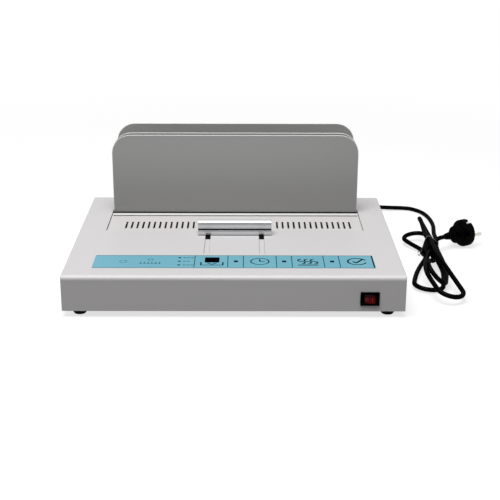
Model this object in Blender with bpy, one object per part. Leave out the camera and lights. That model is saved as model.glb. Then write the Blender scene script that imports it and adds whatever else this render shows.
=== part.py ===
"""Thermal binding machine: a flat steel housing with a hot plate in a trough, a sliding clamp plate
with a pull handle, a fixed clamp plate, a cooling rack behind it, a power rocker and a mains lead.

Metres. +X is to the right seen from the front, +Y is to the rear, +Z is up. The origin is on the
surface that the feet stand on, under the middle of the machine without its lead. The machine is at
rest with the clamp closed: the clamp carriage slides towards -Y and the rocker turns about +Z.
"""
import math

import bmesh
import bpy
import numpy as np
from mathutils import Matrix, Vector

# Clearances and overruns
seat_gap = 0.0003
running_gap = 0.0006
hole_gap = 0.0003
cut_overrun = 0.002
weld = 0.000001
edge_profile_share = 0.5
diagonal_share = 0.7071

# Clamp plates and cooling rack: their width is what the whole machine's width follows
plate_width = 0.329
plate_height = 0.107
plate_corner_radius = 0.025
plate_sheet = 0.0020
plate_bend_radius = 0.0030
plate_flange_depth = 0.0160
plate_step = 0.0135
plate_foot_lift = 0.0005
plate_screw_radius = 0.0016
plate_screw_head_radius = 0.0032
plate_screw_head_height = 0.0018
plate_screw_end = 0.0020
plate_screw_inset = 0.0295
plate_screw_share = 0.6
plate_screw_offset = plate_width / 2 - plate_screw_inset

# Places along the deck, from the front face back: the panel, the slots that the handle's guides run
# in, the window that the slide plate fills, the front clamp plate and the rack behind it
travel = 0.050
panel_front = 0.0286
panel_depth = 0.0429
panel_to_slot = 0.0080
slot_spare = 0.0094
post_to_window = 0.0311
window_to_plate = 0.0780
trough_depth = 0.0140
rack_depth = 0.0720
slot_front = panel_front + panel_depth + panel_to_slot
post_front = slot_front + travel + slot_spare
window_front = post_front + post_to_window
plate_front = window_front + window_to_plate
window_length = window_to_plate + trough_depth
window_side_gap = 0.0015
window_width = plate_width + 2 * window_side_gap

# Housing
side_margin = 0.0355
base_width = plate_width + 2 * side_margin
base_depth = plate_front + rack_depth
cover_height = 0.043
cover_sheet = 0.0012
front_edge_radius = 0.005
rear_edge_radius = 0.0025
side_edge_radius = 0.0009
pan_sheet = 0.0012
pan_flange_height = 0.014
foot_height = 0.0075
foot_radius = 0.0090
foot_base_radius = 0.0076
foot_recess_radius = 0.0050
foot_recess_depth = 0.0034
foot_inset_x = 0.0191
foot_inset_y = 0.0160
foot_screw_radius = 0.0018
foot_screw_head_radius = 0.0040
foot_screw_head_height = 0.0022
foot_screw_end = 0.0030
cover_screw_radius = 0.0015
cover_screw_head_radius = 0.0031
cover_screw_head_height = 0.0014
cover_screw_end = 0.0020
cover_screw_height = 0.0070
cover_screw_from_end = 0.0600

# Slots for the handle's guides
slot_offset = 0.0340
slot_width = 0.0066

# Clamp carriage
slide_sheet = 0.0012
slide_margin = 0.0080
tongue_width = 0.0150
tongue_cover = 0.0060
vent_width = 0.0024
vent_length = 0.0282
vent_from_window = 0.0134
vents_left = 13
vents_right = 14
vent_pitch_share = 0.02234
vent_first_left_share = 0.1653
vent_first_right_share = 0.1678
vent_pitch = plate_width * vent_pitch_share
vent_first_left = plate_width * vent_first_left_share
vent_first_right = plate_width * vent_first_right_share
foot_angle_sheet = 0.0010
foot_angle_bend_radius = 0.0015
foot_angle_reach = 0.0120
foot_angle_height = 0.0300

# Pull handle: a bar just above the deck, on two guides that fill the slots in front of it
handle_width = 0.0934
handle_depth = 0.0140
handle_height = 0.0180
handle_lift = 0.0005
handle_behind_post = 0.0092
handle_band = 0.0064
handle_groove = 0.0024
handle_groove_depth = 0.0016
handle_edge_radius = 0.0012
handle_rear_radius = 0.0030
handle_end_bevel = 0.0004
post_width = 0.0060
post_depth = 0.0166
post_peg_from_front = 0.0040
post_peg_radius = 0.0018
post_peg_height = 0.0050

# Slide rails
rail_web = 0.0030
rail_ledge = 0.0030
rail_foot_width = 0.0140
rail_foot_height = 0.0030
rail_front = 0.0720
rail_end_gap = 0.0040

# Heater
heater_side_gap = 0.0080
heater_width = window_width - 2 * heater_side_gap
heater_depth = 0.0560
heater_thickness = 0.0040
element_margin = 0.0080
element_width = heater_width - 2 * element_margin
element_depth = 0.0440
element_thickness = 0.0020
insulation_thickness = 0.0060
bridge_sheet = 0.0015
bridge_foot = 0.0120
thermostat_radius = 0.0080
thermostat_drop = 0.0060
thermostat_flange = 0.0130
thermostat_flange_sheet = 0.0012
thermostat_x = -0.0600
fuse_radius = 0.0021
fuse_length = 0.0130
fuse_tab = 0.0010
fuse_x = 0.0400

# Control panel
panel_margin = 0.0026
panel_width = plate_width + 2 * panel_margin
panel_sheet = 0.0004
light_offsets = (0.0022, 0.0598, 0.1170)
light_radius = 0.0015
light_collar_radius = 0.0019
light_collar_height = 0.0012
light_hole_radius = 0.0019
board_width = 0.1500
board_depth = 0.0380
board_thickness = 0.0016
board_drop = 0.0080
board_centre_x = 0.0600
board_inset = 0.0014
board_front = panel_front + board_inset
spacer_radius = 0.0030
spacer_inset = 0.0060
relay_width = 0.0190
relay_depth = 0.0150
relay_height = 0.0140
relay_edge = 0.0008
buzzer_radius = 0.0060
buzzer_height = 0.0080
buzzer_port_radius = 0.0012
buzzer_port_depth = 0.0030

# Supply
core_width = 0.0400
core_depth = 0.0160
core_height = 0.0320
winding_width = 0.0270
winding_depth = 0.0340
winding_height = 0.0200
transformer_x = -0.0700
transformer_from_slot = 0.0105
transformer_from_front = slot_front + transformer_from_slot
terminal_width = 0.0300
terminal_depth = 0.0140
terminal_height = 0.0120
terminal_step = 0.0040
terminal_from_side = 0.0850
terminal_x = base_width / 2 - terminal_from_side
terminal_from_post = 0.0111
terminal_from_front = post_front + terminal_from_post

# Power switch
switch_from_side = 0.0420
switch_x = base_width / 2 - switch_from_side
switch_below_deck = 0.0270
bezel_width = 0.0223
bezel_height = 0.0168
bezel_thickness = 0.0016
bezel_edge = 0.0005
switch_body_width = 0.0190
switch_body_height = 0.0140
switch_body_depth = 0.0180
rocker_radius = 0.0072
rocker_height = 0.0104
rocker_setback = 0.0026
rocker_crest = 0.0030
rocker_facet_degrees = 10.0
rocker_gap = 0.0004
rocker_pin_radius = 0.0014
rocker_pin_reach = 0.0010

# Mains lead
cord_diameter = 0.0060
cord_exit_from_side = 0.0500
cord_exit_height = 0.0220
strand_step = 0.0069
floor_gap = 0.0002
tie_lift = 0.0014
hank_spacing = 0.0105
lead_spacing = 0.0130
relief_length = 0.0320
relief_tip_radius = 0.0041
relief_root_radius = 0.0062
relief_flange_radius = 0.0080
relief_flange = 0.0025
relief_neck_radius = 0.0052
relief_inner = 0.0050
tie_width = 0.0040
tie_thickness = 0.0009
tie_tail_length = 0.0120
tie_tail_height = 0.0013
plug_radius = 0.0185
plug_body_length = 0.0240
plug_boot_length = 0.0150
plug_boot_radius = 0.0068
plug_flat_share = 0.86
plug_shoulder_share = 0.22
pin_radius = 0.0024
pin_length = 0.0190
pin_root = 0.0080
pin_spacing = 0.0190
plug_heading_degrees = 58.0
plug_roll_degrees = 18.0
wire_diameter = 0.0046

# Heights and places that the sizes above give
pan_bottom = foot_height + seat_gap
deck_top = pan_bottom + cover_height
deck_under = deck_top - cover_sheet
pan_top = pan_bottom + pan_sheet
pan_flange_top = pan_bottom + pan_flange_height
slide_top = deck_under - running_gap
slide_under = slide_top - slide_sheet
heater_top = slide_under - running_gap
element_top = heater_top - heater_thickness - seat_gap
insulation_top = element_top - element_thickness - seat_gap
bridge_top = insulation_top - insulation_thickness - seat_gap
board_top = deck_under - board_drop
switch_z = deck_top - switch_below_deck
facet = math.radians(rocker_facet_degrees)
rocker_corner_x = (
    -rocker_crest * math.sin(facet)
    + math.sqrt(rocker_radius**2 - (rocker_crest * math.cos(facet)) ** 2)
) * math.cos(facet)
rocker_corner_y = rocker_crest + rocker_corner_x * math.tan(facet)
rocker_tip = rocker_corner_x * math.sin(facet) + rocker_corner_y * math.cos(facet)
switch_reach = bezel_thickness + seat_gap + rocker_tip - rocker_setback
front_y = -(base_depth - switch_reach) / 2
strand_offset = cord_diameter + floor_gap

closed_post_y = front_y + post_front
corner_x = base_width / 2
corner_y = front_y + base_depth
cord_exit_x = corner_x - cord_exit_from_side
ground = Vector((0, 0, 0))


def back(distance):
    """The Y of a place this far behind the front face."""
    return front_y + distance


def clear_scene():
    for old in list(bpy.data.objects):
        bpy.data.objects.remove(old, do_unlink=True)


def finish(name, colour, roughness, metallic=0.0):
    """A plain finish: colour, roughness and metallic value."""
    made = bpy.data.materials.new(name)
    made.use_nodes = True
    shader = made.node_tree.nodes["Principled BSDF"]
    shader.inputs["Base Color"].default_value = (*colour, 1.0)
    shader.inputs["Roughness"].default_value = roughness
    shader.inputs["Metallic"].default_value = metallic
    made.diffuse_color = (*colour, 1.0)
    return made


def make(name, mesh, look, origin=ground, smooth_degrees=30):
    """An object from a bmesh in the machine's frame, with its origin at the place given."""
    origin = Vector(origin)
    mesh.transform(Matrix.Translation(-origin))
    data = bpy.data.meshes.new(name)
    mesh.to_mesh(data)
    mesh.free()
    data.shade_smooth()
    data.set_sharp_from_angle(angle=math.radians(smooth_degrees))
    data.materials.append(look)
    piece = bpy.data.objects.new(name, data)
    piece.location = origin
    bpy.context.scene.collection.objects.link(piece)
    return piece


def combine(piece, mesh, operation, label):
    """Cuts a mesh from a piece, or joins it on. The helper stays in the scene, hidden from renders."""
    data = bpy.data.meshes.new(f"{piece.name}_{label}")
    mesh.transform(Matrix.Translation(-piece.location))
    mesh.to_mesh(data)
    mesh.free()
    helper = bpy.data.objects.new(data.name, data)
    helper.location = piece.location
    helper.hide_render = True
    helper.display_type = "WIRE"
    bpy.context.scene.collection.objects.link(helper)
    change = piece.modifiers.new(label, "BOOLEAN")
    change.operation = operation
    change.solver = "EXACT"
    change.object = helper
    return piece


def cut(piece, mesh, label="opening"):
    return combine(piece, mesh, "DIFFERENCE", label)


def unite(piece, mesh, label="joined"):
    return combine(piece, mesh, "UNION", label)


def box(low, high):
    """A block between two corners."""
    mesh = bmesh.new()
    low, high = Vector(low), Vector(high)
    size = high - low
    bmesh.ops.create_cube(mesh, size=1)
    mesh.transform(Matrix.Translation((low + high) / 2) @ Matrix.Diagonal((*size, 1)))
    return mesh


def block(centre, size):
    """A block of this size whose centre is in X and Y at the place given, standing on its Z."""
    centre, size = Vector(centre), Vector(size)
    half = Vector((size.x / 2, size.y / 2, 0))
    return box(centre - half, centre + half + Vector((0, 0, size.z)))


def prism(outline, axis, low, high):
    """A solid whose outline, in the two other axes, runs along an axis from low to high."""
    mesh = bmesh.new()
    along = "XYZ".index(axis)
    ring = []
    for point in outline:
        place = list(point)
        place.insert(along, low)
        ring.append(mesh.verts.new(place))
    base = mesh.faces.new(ring)
    grown = bmesh.ops.extrude_face_region(mesh, geom=[base])["geom"]
    step = Vector((0, 0, 0))
    step[along] = high - low
    moved = [item for item in grown if isinstance(item, bmesh.types.BMVert)]
    bmesh.ops.translate(mesh, verts=moved, vec=step)
    bmesh.ops.recalc_face_normals(mesh, faces=mesh.faces)
    return mesh


def turned(profile, centre, axis, steps):
    """A solid of revolution. The profile's points are (radius, distance along the axis)."""
    mesh = bmesh.new()
    way = Vector(axis).normalized()
    side = way.orthogonal().normalized()
    centre = Vector(centre)
    ring = [mesh.verts.new(centre + side * radius + way * along) for radius, along in profile]
    edges = [mesh.edges.new(pair) for pair in zip(ring, ring[1:])]
    if profile[0][0] > 0:
        edges.append(mesh.edges.new((ring[-1], ring[0])))
    bmesh.ops.spin(
        mesh, geom=ring + edges, cent=centre, axis=way, angle=math.tau, steps=steps, use_merge=True
    )
    bmesh.ops.remove_doubles(mesh, verts=mesh.verts, dist=weld)
    bmesh.ops.recalc_face_normals(mesh, faces=mesh.faces)
    return mesh


def peg(centre, axis, radius, length, steps=16):
    """A plain round bar from a place along an axis."""
    return turned([(0, 0), (radius, 0), (radius, length), (0, length)], centre, axis, steps)


def together(*meshes):
    """Several meshes in one, none touching another."""
    whole = bmesh.new()
    for mesh in meshes:
        data = bpy.data.meshes.new("part_of_helper")
        mesh.to_mesh(data)
        mesh.free()
        whole.from_mesh(data)
        bpy.data.meshes.remove(data)
    return whole


def arc(centre, radius, start, end, steps):
    """Points on an arc, in degrees anticlockwise from the first axis."""
    angles = [math.radians(start + (end - start) * step / steps) for step in range(steps + 1)]
    return [(centre[0] + radius * math.cos(a), centre[1] + radius * math.sin(a)) for a in angles]


def bevelled(mesh, width, chooses, segments=1):
    """The mesh with the edges that the test picks bevelled."""
    edges = [edge for edge in mesh.edges if chooses(edge)]
    bmesh.ops.bevel(
        mesh,
        geom=edges,
        offset=width,
        segments=segments,
        profile=edge_profile_share,
        affect="EDGES",
        material=-1,
    )
    return mesh


def around(edge, axis, place):
    """Whether an edge lies in the plane across an axis at this place."""
    return all(abs(vertex.co[axis] - place) < weld for vertex in edge.verts)


def housing(look, steel):
    """The folded cover, the base pan, the feet and the screws that hold them."""
    half = base_width / 2

    def shell(inset, low):
        front, rear = back(inset), back(base_depth - inset)
        top = deck_top - inset
        front_radius, rear_radius = front_edge_radius - inset, rear_edge_radius - inset
        outline = [(front, low)]
        outline += arc((front + front_radius, top - front_radius), front_radius, 180, 90, 5)
        outline += arc((rear - rear_radius, top - rear_radius), rear_radius, 90, 0, 3)
        outline += [(rear, low)]
        return prism(outline, "X", -half + inset, half - inset)

    outside = shell(0, pan_bottom)
    bevelled(
        outside,
        side_edge_radius,
        lambda edge: (
            around(edge, 0, -half) or around(edge, 0, half)
        ) and not around(edge, 2, pan_bottom),
    )
    cover = make("top_cover", outside, look["cover"], (0, 0, deck_top))
    cut(cover, shell(cover_sheet, pan_bottom - cut_overrun), "inside")
    deck_low, deck_high = deck_under - cut_overrun, deck_top + cut_overrun
    window = box(
        (-window_width / 2, back(window_front), deck_low),
        (window_width / 2, back(window_front + window_length), deck_high),
    )
    slot_rear = post_front + post_depth + hole_gap
    slots = [
        box(
            (x - slot_width / 2, back(slot_front), deck_low),
            (x + slot_width / 2, back(slot_rear), deck_high),
        )
        for x in (-slot_offset, slot_offset)
    ]
    light_y = back(panel_front + panel_depth / 2)
    light_holes = [
        peg((x, light_y, deck_low), (0, 0, 1), light_hole_radius, deck_high - deck_low)
        for x in light_offsets
    ]
    cut(cover, together(window, *slots, *light_holes), "deck_openings")
    screw_holes = [
        peg((x, y, deck_low), (0, 0, 1), plate_screw_radius + hole_gap, deck_high - deck_low, 12)
        for x in (-plate_screw_offset, plate_screw_offset)
        for y in (middle_screw_y, rear_screw_y)
    ]
    cut(cover, together(*screw_holes), "screw_holes")
    wall_run = cover_sheet + 2 * cut_overrun
    switch_hole = box(
        (
            switch_x - switch_body_width / 2 - hole_gap,
            back(-cut_overrun),
            switch_z - switch_body_height / 2 - hole_gap,
        ),
        (
            switch_x + switch_body_width / 2 + hole_gap,
            back(wall_run),
            switch_z + switch_body_height / 2 + hole_gap,
        ),
    )
    cord_hole = peg(
        (
            cord_exit_x, back(base_depth + cut_overrun), cord_exit_height
        ), (0, -1, 0), relief_neck_radius + hole_gap, wall_run, 20
    )
    cut(cover, together(switch_hole, cord_hole), "wall_openings")
    side_holes = [
        peg(
            (side * (half + cut_overrun), y, side_screw_z),
            (-side, 0, 0),
            cover_screw_radius + hole_gap,
            wall_run,
            12,
        )
        for side in (-1, 1)
        for y in side_screw_ys
    ]
    cut(cover, together(*side_holes), "side_holes")

    pan_edge = cover_sheet + seat_gap
    pan = make(
        "bottom_pan",
        box(
            (-half + pan_edge, back(pan_edge), pan_bottom),
            (half - pan_edge, back(base_depth - pan_edge), pan_flange_top),
        ),
        look["pan"],
        (0, 0, pan_bottom),
    )
    pan_inner = pan_edge + pan_sheet
    cut(
        pan,
        box(
            (-half + pan_inner, back(pan_inner), pan_top),
            (half - pan_inner, back(base_depth - pan_inner), pan_flange_top + cut_overrun),
        ),
        "inside",
    )
    pan_drop = pan_bottom - cut_overrun
    foot_holes = [
        peg((x, y, pan_drop), (0, 0, 1), foot_screw_radius + hole_gap, pan_sheet + 2 * cut_overrun, 12)
        for x, y in foot_places
    ]
    flange_holes = [
        peg(
            (side * (half + cut_overrun), y, side_screw_z),
            (-side, 0, 0),
            cover_screw_radius + hole_gap,
            pan_inner + 2 * cut_overrun,
            12,
        )
        for side in (-1, 1)
        for y in side_screw_ys
    ]
    cut(pan, together(*foot_holes, *flange_holes), "holes")
    reach = relief_flange_radius + seat_gap
    reach_z = cord_exit_height - relief_neck_radius - hole_gap
    if reach_z < pan_flange_top:
        cut(
            pan,
            box(
                (cord_exit_x - reach, back(base_depth - pan_inner - cut_overrun), reach_z - hole_gap),
                (cord_exit_x + reach, back(base_depth), pan_flange_top + cut_overrun),
            ),
            "cord_notch",
        )
    switch_low = switch_z - switch_body_height / 2 - hole_gap
    if switch_low < pan_flange_top:
        cut(
            pan,
            box(
                (switch_x - bezel_width / 2, back(0), switch_low - hole_gap),
                (switch_x + bezel_width / 2, back(pan_inner + cut_overrun), pan_flange_top + cut_overrun),
            ),
            "switch_notch",
        )

    names = ("front_left", "front_right", "rear_left", "rear_right")
    through = foot_screw_radius + hole_gap
    for place, (x, y) in zip(names, foot_places):
        foot = turned(
            [
                (through, foot_recess_depth),
                (through, foot_height),
                (foot_radius, foot_height),
                (foot_base_radius, 0),
                (foot_recess_radius, 0),
                (foot_recess_radius, foot_recess_depth),
            ],
            (x, y, 0),
            (0, 0, 1),
            20,
        )
        make(f"foot_{place}", foot, look["rubber"], (x, y, 0))
        head = foot_screw_head_radius
        head_base = foot_recess_depth - seat_gap
        screw = turned(
            [
                (0, head_base - foot_screw_head_height),
                (head / 2, head_base - foot_screw_head_height),
                (head, head_base - foot_screw_head_height / 2),
                (head, head_base),
                (foot_screw_radius, head_base),
                (foot_screw_radius, pan_top + foot_screw_end),
                (0, pan_top + foot_screw_end),
            ],
            (x, y, 0),
            (0, 0, 1),
            12,
        )
        make(f"foot_screw_{place}", screw, steel, (x, y, 0))
    sides = {"left": -1, "right": 1}
    for side_name, side in sides.items():
        for end_name, y in zip(("front", "rear"), side_screw_ys):
            screw_at(
                f"cover_screw_{side_name}_{end_name}",
                (side * (half + seat_gap), y, side_screw_z),
                (side, 0, 0),
                cover_screw_radius,
                2 * seat_gap + cover_sheet + pan_sheet + cover_screw_end,
                cover_screw_head_radius,
                cover_screw_head_height,
                steel,
            )


def screw_at(name, seat, out, radius, depth, head_radius, head_height, look):
    """A pan-head screw: its head stands out from the seat and its shank goes in."""
    profile = [
        (0, -depth),
        (radius, -depth),
        (radius, 0),
        (head_radius, 0),
        (head_radius, head_height / 2),
        (head_radius / 2, head_height),
        (0, head_height),
    ]
    return make(name, turned(profile, seat, out, 12), look, seat)


def upright_outline(low, margin=0):
    """The outline of a clamp plate seen from the front: straight sides and two rounded top corners."""
    half, top, radius = plate_width / 2, deck_top + plate_height, plate_corner_radius
    points = [(-half - margin, low), (half + margin, low)]
    points += arc((half - radius, top - radius), radius, 0, 90, 8)
    points += arc((-half + radius, top - radius), radius, 90, 180, 8)
    return points


def bent_sheet(face, sheet, low, top, reach, way, outer=plate_bend_radius):
    """The section in Y and Z of an upright sheet with a foot bent towards way, +1 to the rear."""
    inner = outer - sheet if outer > sheet else 0
    far = face - way * sheet
    points = [(far + way * reach, low), (far + way * reach, low + sheet)]
    corner = (far + way * outer, low + outer)
    start = 180 if way > 0 else 0
    if inner > 0:
        points += arc(corner, inner, 270, start if way > 0 else 360, 3)
    else:
        points.append((face, low + sheet))
    points += [(face, top), (far, top)]
    points += arc(corner, outer, start, 270 if way > 0 else -90, 3)
    return points


def fixed_plate(name, face_front, way, screw_y, look, steel):
    """A plate with a foot bent to the rear (+1) or to the front (-1), screwed to the deck."""
    low = deck_top + seat_gap
    top = deck_top + plate_height
    face = face_front + plate_sheet if way > 0 else face_front
    half = plate_width / 2
    section = bent_sheet(face, plate_sheet, low, top + cut_overrun, plate_flange_depth, way)
    plate = make(name, prism(section, "X", -half, half), look, (0, face_front, low))
    far = plate_flange_depth + cut_overrun
    corners = prism(
        upright_outline(low - cut_overrun, cut_overrun),
        "Y",
        face_front - far,
        face_front + plate_sheet + far,
    )
    combine(plate, corners, "INTERSECT", "rounded_corners")
    holes = [
        peg(
            (x, screw_y, low - cut_overrun),
            (0, 0, 1),
            plate_screw_radius + hole_gap,
            plate_sheet + 2 * cut_overrun,
            12,
        )
        for x in (-plate_screw_offset, plate_screw_offset)
    ]
    cut(plate, together(*holes), "screw_holes")
    for side, x in (("left", -plate_screw_offset), ("right", plate_screw_offset)):
        screw_at(
            f"{name}_screw_{side}",
            (x, screw_y, low + plate_sheet + seat_gap),
            (0, 0, 1),
            plate_screw_radius,
            plate_sheet + 2 * seat_gap + cover_sheet + plate_screw_end,
            plate_screw_head_radius,
            plate_screw_head_height,
            steel,
        )


def clamp_carriage(look, steel, axis):
    """What slides: the slide plate with its vents, the foot angle, the front plate and the handle."""
    half = window_width / 2 + slide_margin
    front, rear = back(window_front - travel), back(
        plate_front + plate_sheet + seat_gap + foot_angle_sheet
    )
    tongue_end = back(slot_front - tongue_cover)
    outline = [(-half, front)]
    for x in (-slot_offset, slot_offset):
        outline += [
            (x - tongue_width / 2, front),
            (x - tongue_width / 2, tongue_end),
            (x + tongue_width / 2, tongue_end),
            (x + tongue_width / 2, front),
        ]
    outline += [(half, front), (half, rear), (-half, rear)]
    slide = make(
        "slide_plate",
        prism(outline, "Z", slide_under, slide_top),
        look["cover"],
        (0, closed_post_y, slide_top),
    )
    vent_y = back(window_front + vent_from_window)
    places = [-vent_first_left - vent_pitch * number for number in range(vents_left)]
    places += [vent_first_right + vent_pitch * number for number in range(vents_right)]
    vents = [
        box(
            (x - vent_width / 2, vent_y, slide_under - cut_overrun),
            (x + vent_width / 2, vent_y + vent_length, slide_top + cut_overrun),
        )
        for x in places
    ]
    cut(slide, together(*vents), "vents")
    post_y = closed_post_y + post_depth / 2
    peg_y = closed_post_y + handle_behind_post + post_peg_from_front
    peg_holes = [
        peg(
            (x, peg_y, slide_under - cut_overrun),
            (0, 0, 1),
            post_peg_radius + hole_gap,
            slide_sheet + 2 * cut_overrun,
            12,
        )
        for x in (-slot_offset, slot_offset)
    ]
    cut(slide, together(*peg_holes), "peg_holes")

    low = slide_top + seat_gap
    angle_face = back(plate_front + plate_sheet + seat_gap)
    section = bent_sheet(
        angle_face,
        foot_angle_sheet,
        low,
        low + foot_angle_height,
        foot_angle_reach + plate_sheet + seat_gap + foot_angle_sheet,
        -1,
        foot_angle_bend_radius,
    )
    width = plate_width / 2
    angle = make("clamp_foot", prism(section, "X", -width, width), look["cover"], (0, angle_face, low))
    panel = make(
        "front_plate",
        prism(
            upright_outline(low + foot_angle_sheet + plate_foot_lift),
            "Y",
            back(plate_front),
            back(plate_front + plate_sheet),
        ),
        look["plate"],
        (0, back(plate_front), low + foot_angle_sheet + plate_foot_lift),
    )

    bar_low, bar_front = deck_top + handle_lift, closed_post_y + handle_behind_post
    bar_top, bar_rear = bar_low + handle_height, bar_front + handle_depth
    groove_low, groove_high = bar_low + handle_band, bar_low + handle_band + handle_groove
    profile = [
        (bar_front, bar_low),
        (bar_front, groove_low),
        (bar_front + handle_groove_depth, groove_low),
        (bar_front + handle_groove_depth, groove_high),
        (bar_front, groove_high),
    ]
    profile += arc(
        (bar_front + handle_edge_radius, bar_top - handle_edge_radius), handle_edge_radius, 180, 90, 5
    )
    profile += arc(
        (bar_rear - handle_rear_radius, bar_top - handle_rear_radius), handle_rear_radius, 90, 0, 3
    )
    profile += [(bar_rear, bar_low)]
    half_bar = handle_width / 2
    bar = prism(profile, "X", -half_bar, half_bar)
    bevelled(bar, handle_end_bevel, lambda edge: around(edge, 0, -half_bar) or around(edge, 0, half_bar))
    handle = make("handle_bar", bar, look["aluminium"], (0, bar_front, bar_low))
    sockets = [
        peg(
            (x, peg_y, bar_low - cut_overrun),
            (0, 0, 1),
            post_peg_radius + hole_gap,
            post_peg_height + cut_overrun + hole_gap,
            12,
        )
        for x in (-slot_offset, slot_offset)
    ]
    cut(handle, together(*sockets), "peg_sockets")

    moving = [slide, angle, panel, handle]
    for side, x in (("left", -slot_offset), ("right", slot_offset)):
        base, top = slide_top + seat_gap, bar_low - seat_gap
        post = make(
            f"handle_post_{side}",
            block((x, post_y, base), (post_width, post_depth, top - base)),
            look["black_plastic"],
            (x, post_y, base),
        )
        peg_bottom = slide_under - seat_gap
        unite(
            post,
            peg(
                (x, peg_y, peg_bottom),
                (0, 0, 1),
                post_peg_radius,
                top + post_peg_height - peg_bottom,
                12,
            ),
            "peg",
        )
        moving.append(post)
    for piece in moving:
        piece.parent = axis
        piece.matrix_parent_inverse = Matrix.Translation(-axis.location)


def slide_rails(look):
    """The two rails whose ledges carry the slide plate's edges."""
    inner = window_width / 2 + hole_gap
    wall = window_width / 2 + slide_margin + running_gap
    ledge_top = slide_under - seat_gap
    low = pan_top + seat_gap
    for side_name, side in (("left", -1), ("right", 1)):
        section = [
            (wall + rail_web, deck_under - seat_gap),
            (wall, deck_under - seat_gap),
            (wall, ledge_top),
            (inner, ledge_top),
            (inner, ledge_top - rail_ledge),
            (wall, ledge_top - rail_ledge),
            (wall, low),
            (wall + rail_foot_width, low),
            (wall + rail_foot_width, low + rail_foot_height),
            (wall + rail_web, low + rail_foot_height),
        ]
        points = [(side * x, z) for x, z in section]
        rail = prism(points, "Y", back(rail_front), back(window_front + window_length - rail_end_gap))
        make(f"slide_rail_{side_name}", rail, look["nylon"], (side * wall, back(rail_front), low))


def heater(look):
    """The hot plate with its element, the board below it, the bridge that carries them, the cut-outs."""
    rear = window_front + window_length - running_gap
    middle_y = back(rear - heater_depth / 2)

    def slab(name, width, depth, top, thickness, finish_name):
        return make(
            name,
            block((0, middle_y, top - thickness), (width, depth, thickness)),
            look[finish_name],
            (0, middle_y, top),
        )

    slab("heater_plate", heater_width, heater_depth, heater_top, heater_thickness, "aluminium")
    slab("heater_element", element_width, element_depth, element_top, element_thickness, "mica")
    board = slab(
        "insulation_board", heater_width, heater_depth, insulation_top, insulation_thickness, "board"
    )
    half, low = heater_width / 2, pan_top + seat_gap
    section = [
        (-half - bridge_foot, low),
        (-half + bridge_sheet, low),
        (-half + bridge_sheet, bridge_top - bridge_sheet),
    ]
    section += [
        (half - bridge_sheet, bridge_top - bridge_sheet),
        (half - bridge_sheet, low),
        (half + bridge_foot, low),
    ]
    section += [
        (half + bridge_foot, low + bridge_sheet),
        (half, low + bridge_sheet),
        (half, bridge_top),
        (-half, bridge_top),
    ]
    section += [(-half, low + bridge_sheet), (-half - bridge_foot, low + bridge_sheet)]
    bridge = make(
        "heater_bridge",
        prism(section, "Y", middle_y - heater_depth / 2, middle_y + heater_depth / 2),
        look["steel"],
        (0, middle_y, low),
    )
    hole = thermostat_radius + hole_gap
    bottom = bridge_top - bridge_sheet - cut_overrun
    for piece in (board, bridge):
        through = peg(
            (thermostat_x, middle_y, bottom), (0, 0, 1), hole, insulation_top + cut_overrun - bottom, 24
        )
        cut(piece, through, "thermostat_hole")
    under = bridge_top - bridge_sheet - seat_gap
    flange = thermostat_flange
    thermostat = turned(
        [
            (0, under - thermostat_drop),
            (thermostat_radius, under - thermostat_drop),
            (thermostat_radius, under - thermostat_flange_sheet),
            (flange, under - thermostat_flange_sheet),
            (flange, under),
            (thermostat_radius, under),
            (thermostat_radius, element_top - element_thickness - seat_gap),
            (0, element_top - element_thickness - seat_gap),
        ],
        (thermostat_x, middle_y, 0),
        (0, 0, 1),
        24,
    )
    make("thermostat", thermostat, look["nickel"], (thermostat_x, middle_y, under))
    tab = block((fuse_x, middle_y, under - fuse_tab), (fuse_length, fuse_radius * 3, fuse_tab))
    fuse = make("thermal_fuse", tab, look["nickel"], (fuse_x, middle_y, under))
    capsule_start = (
        fuse_x - fuse_length / 2 - fuse_tab,
        middle_y,
        under - fuse_tab / 2 - fuse_radius,
    )
    unite(fuse, peg(capsule_start, (1, 0, 0), fuse_radius, fuse_length + 2 * fuse_tab, 12), "capsule")


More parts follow.
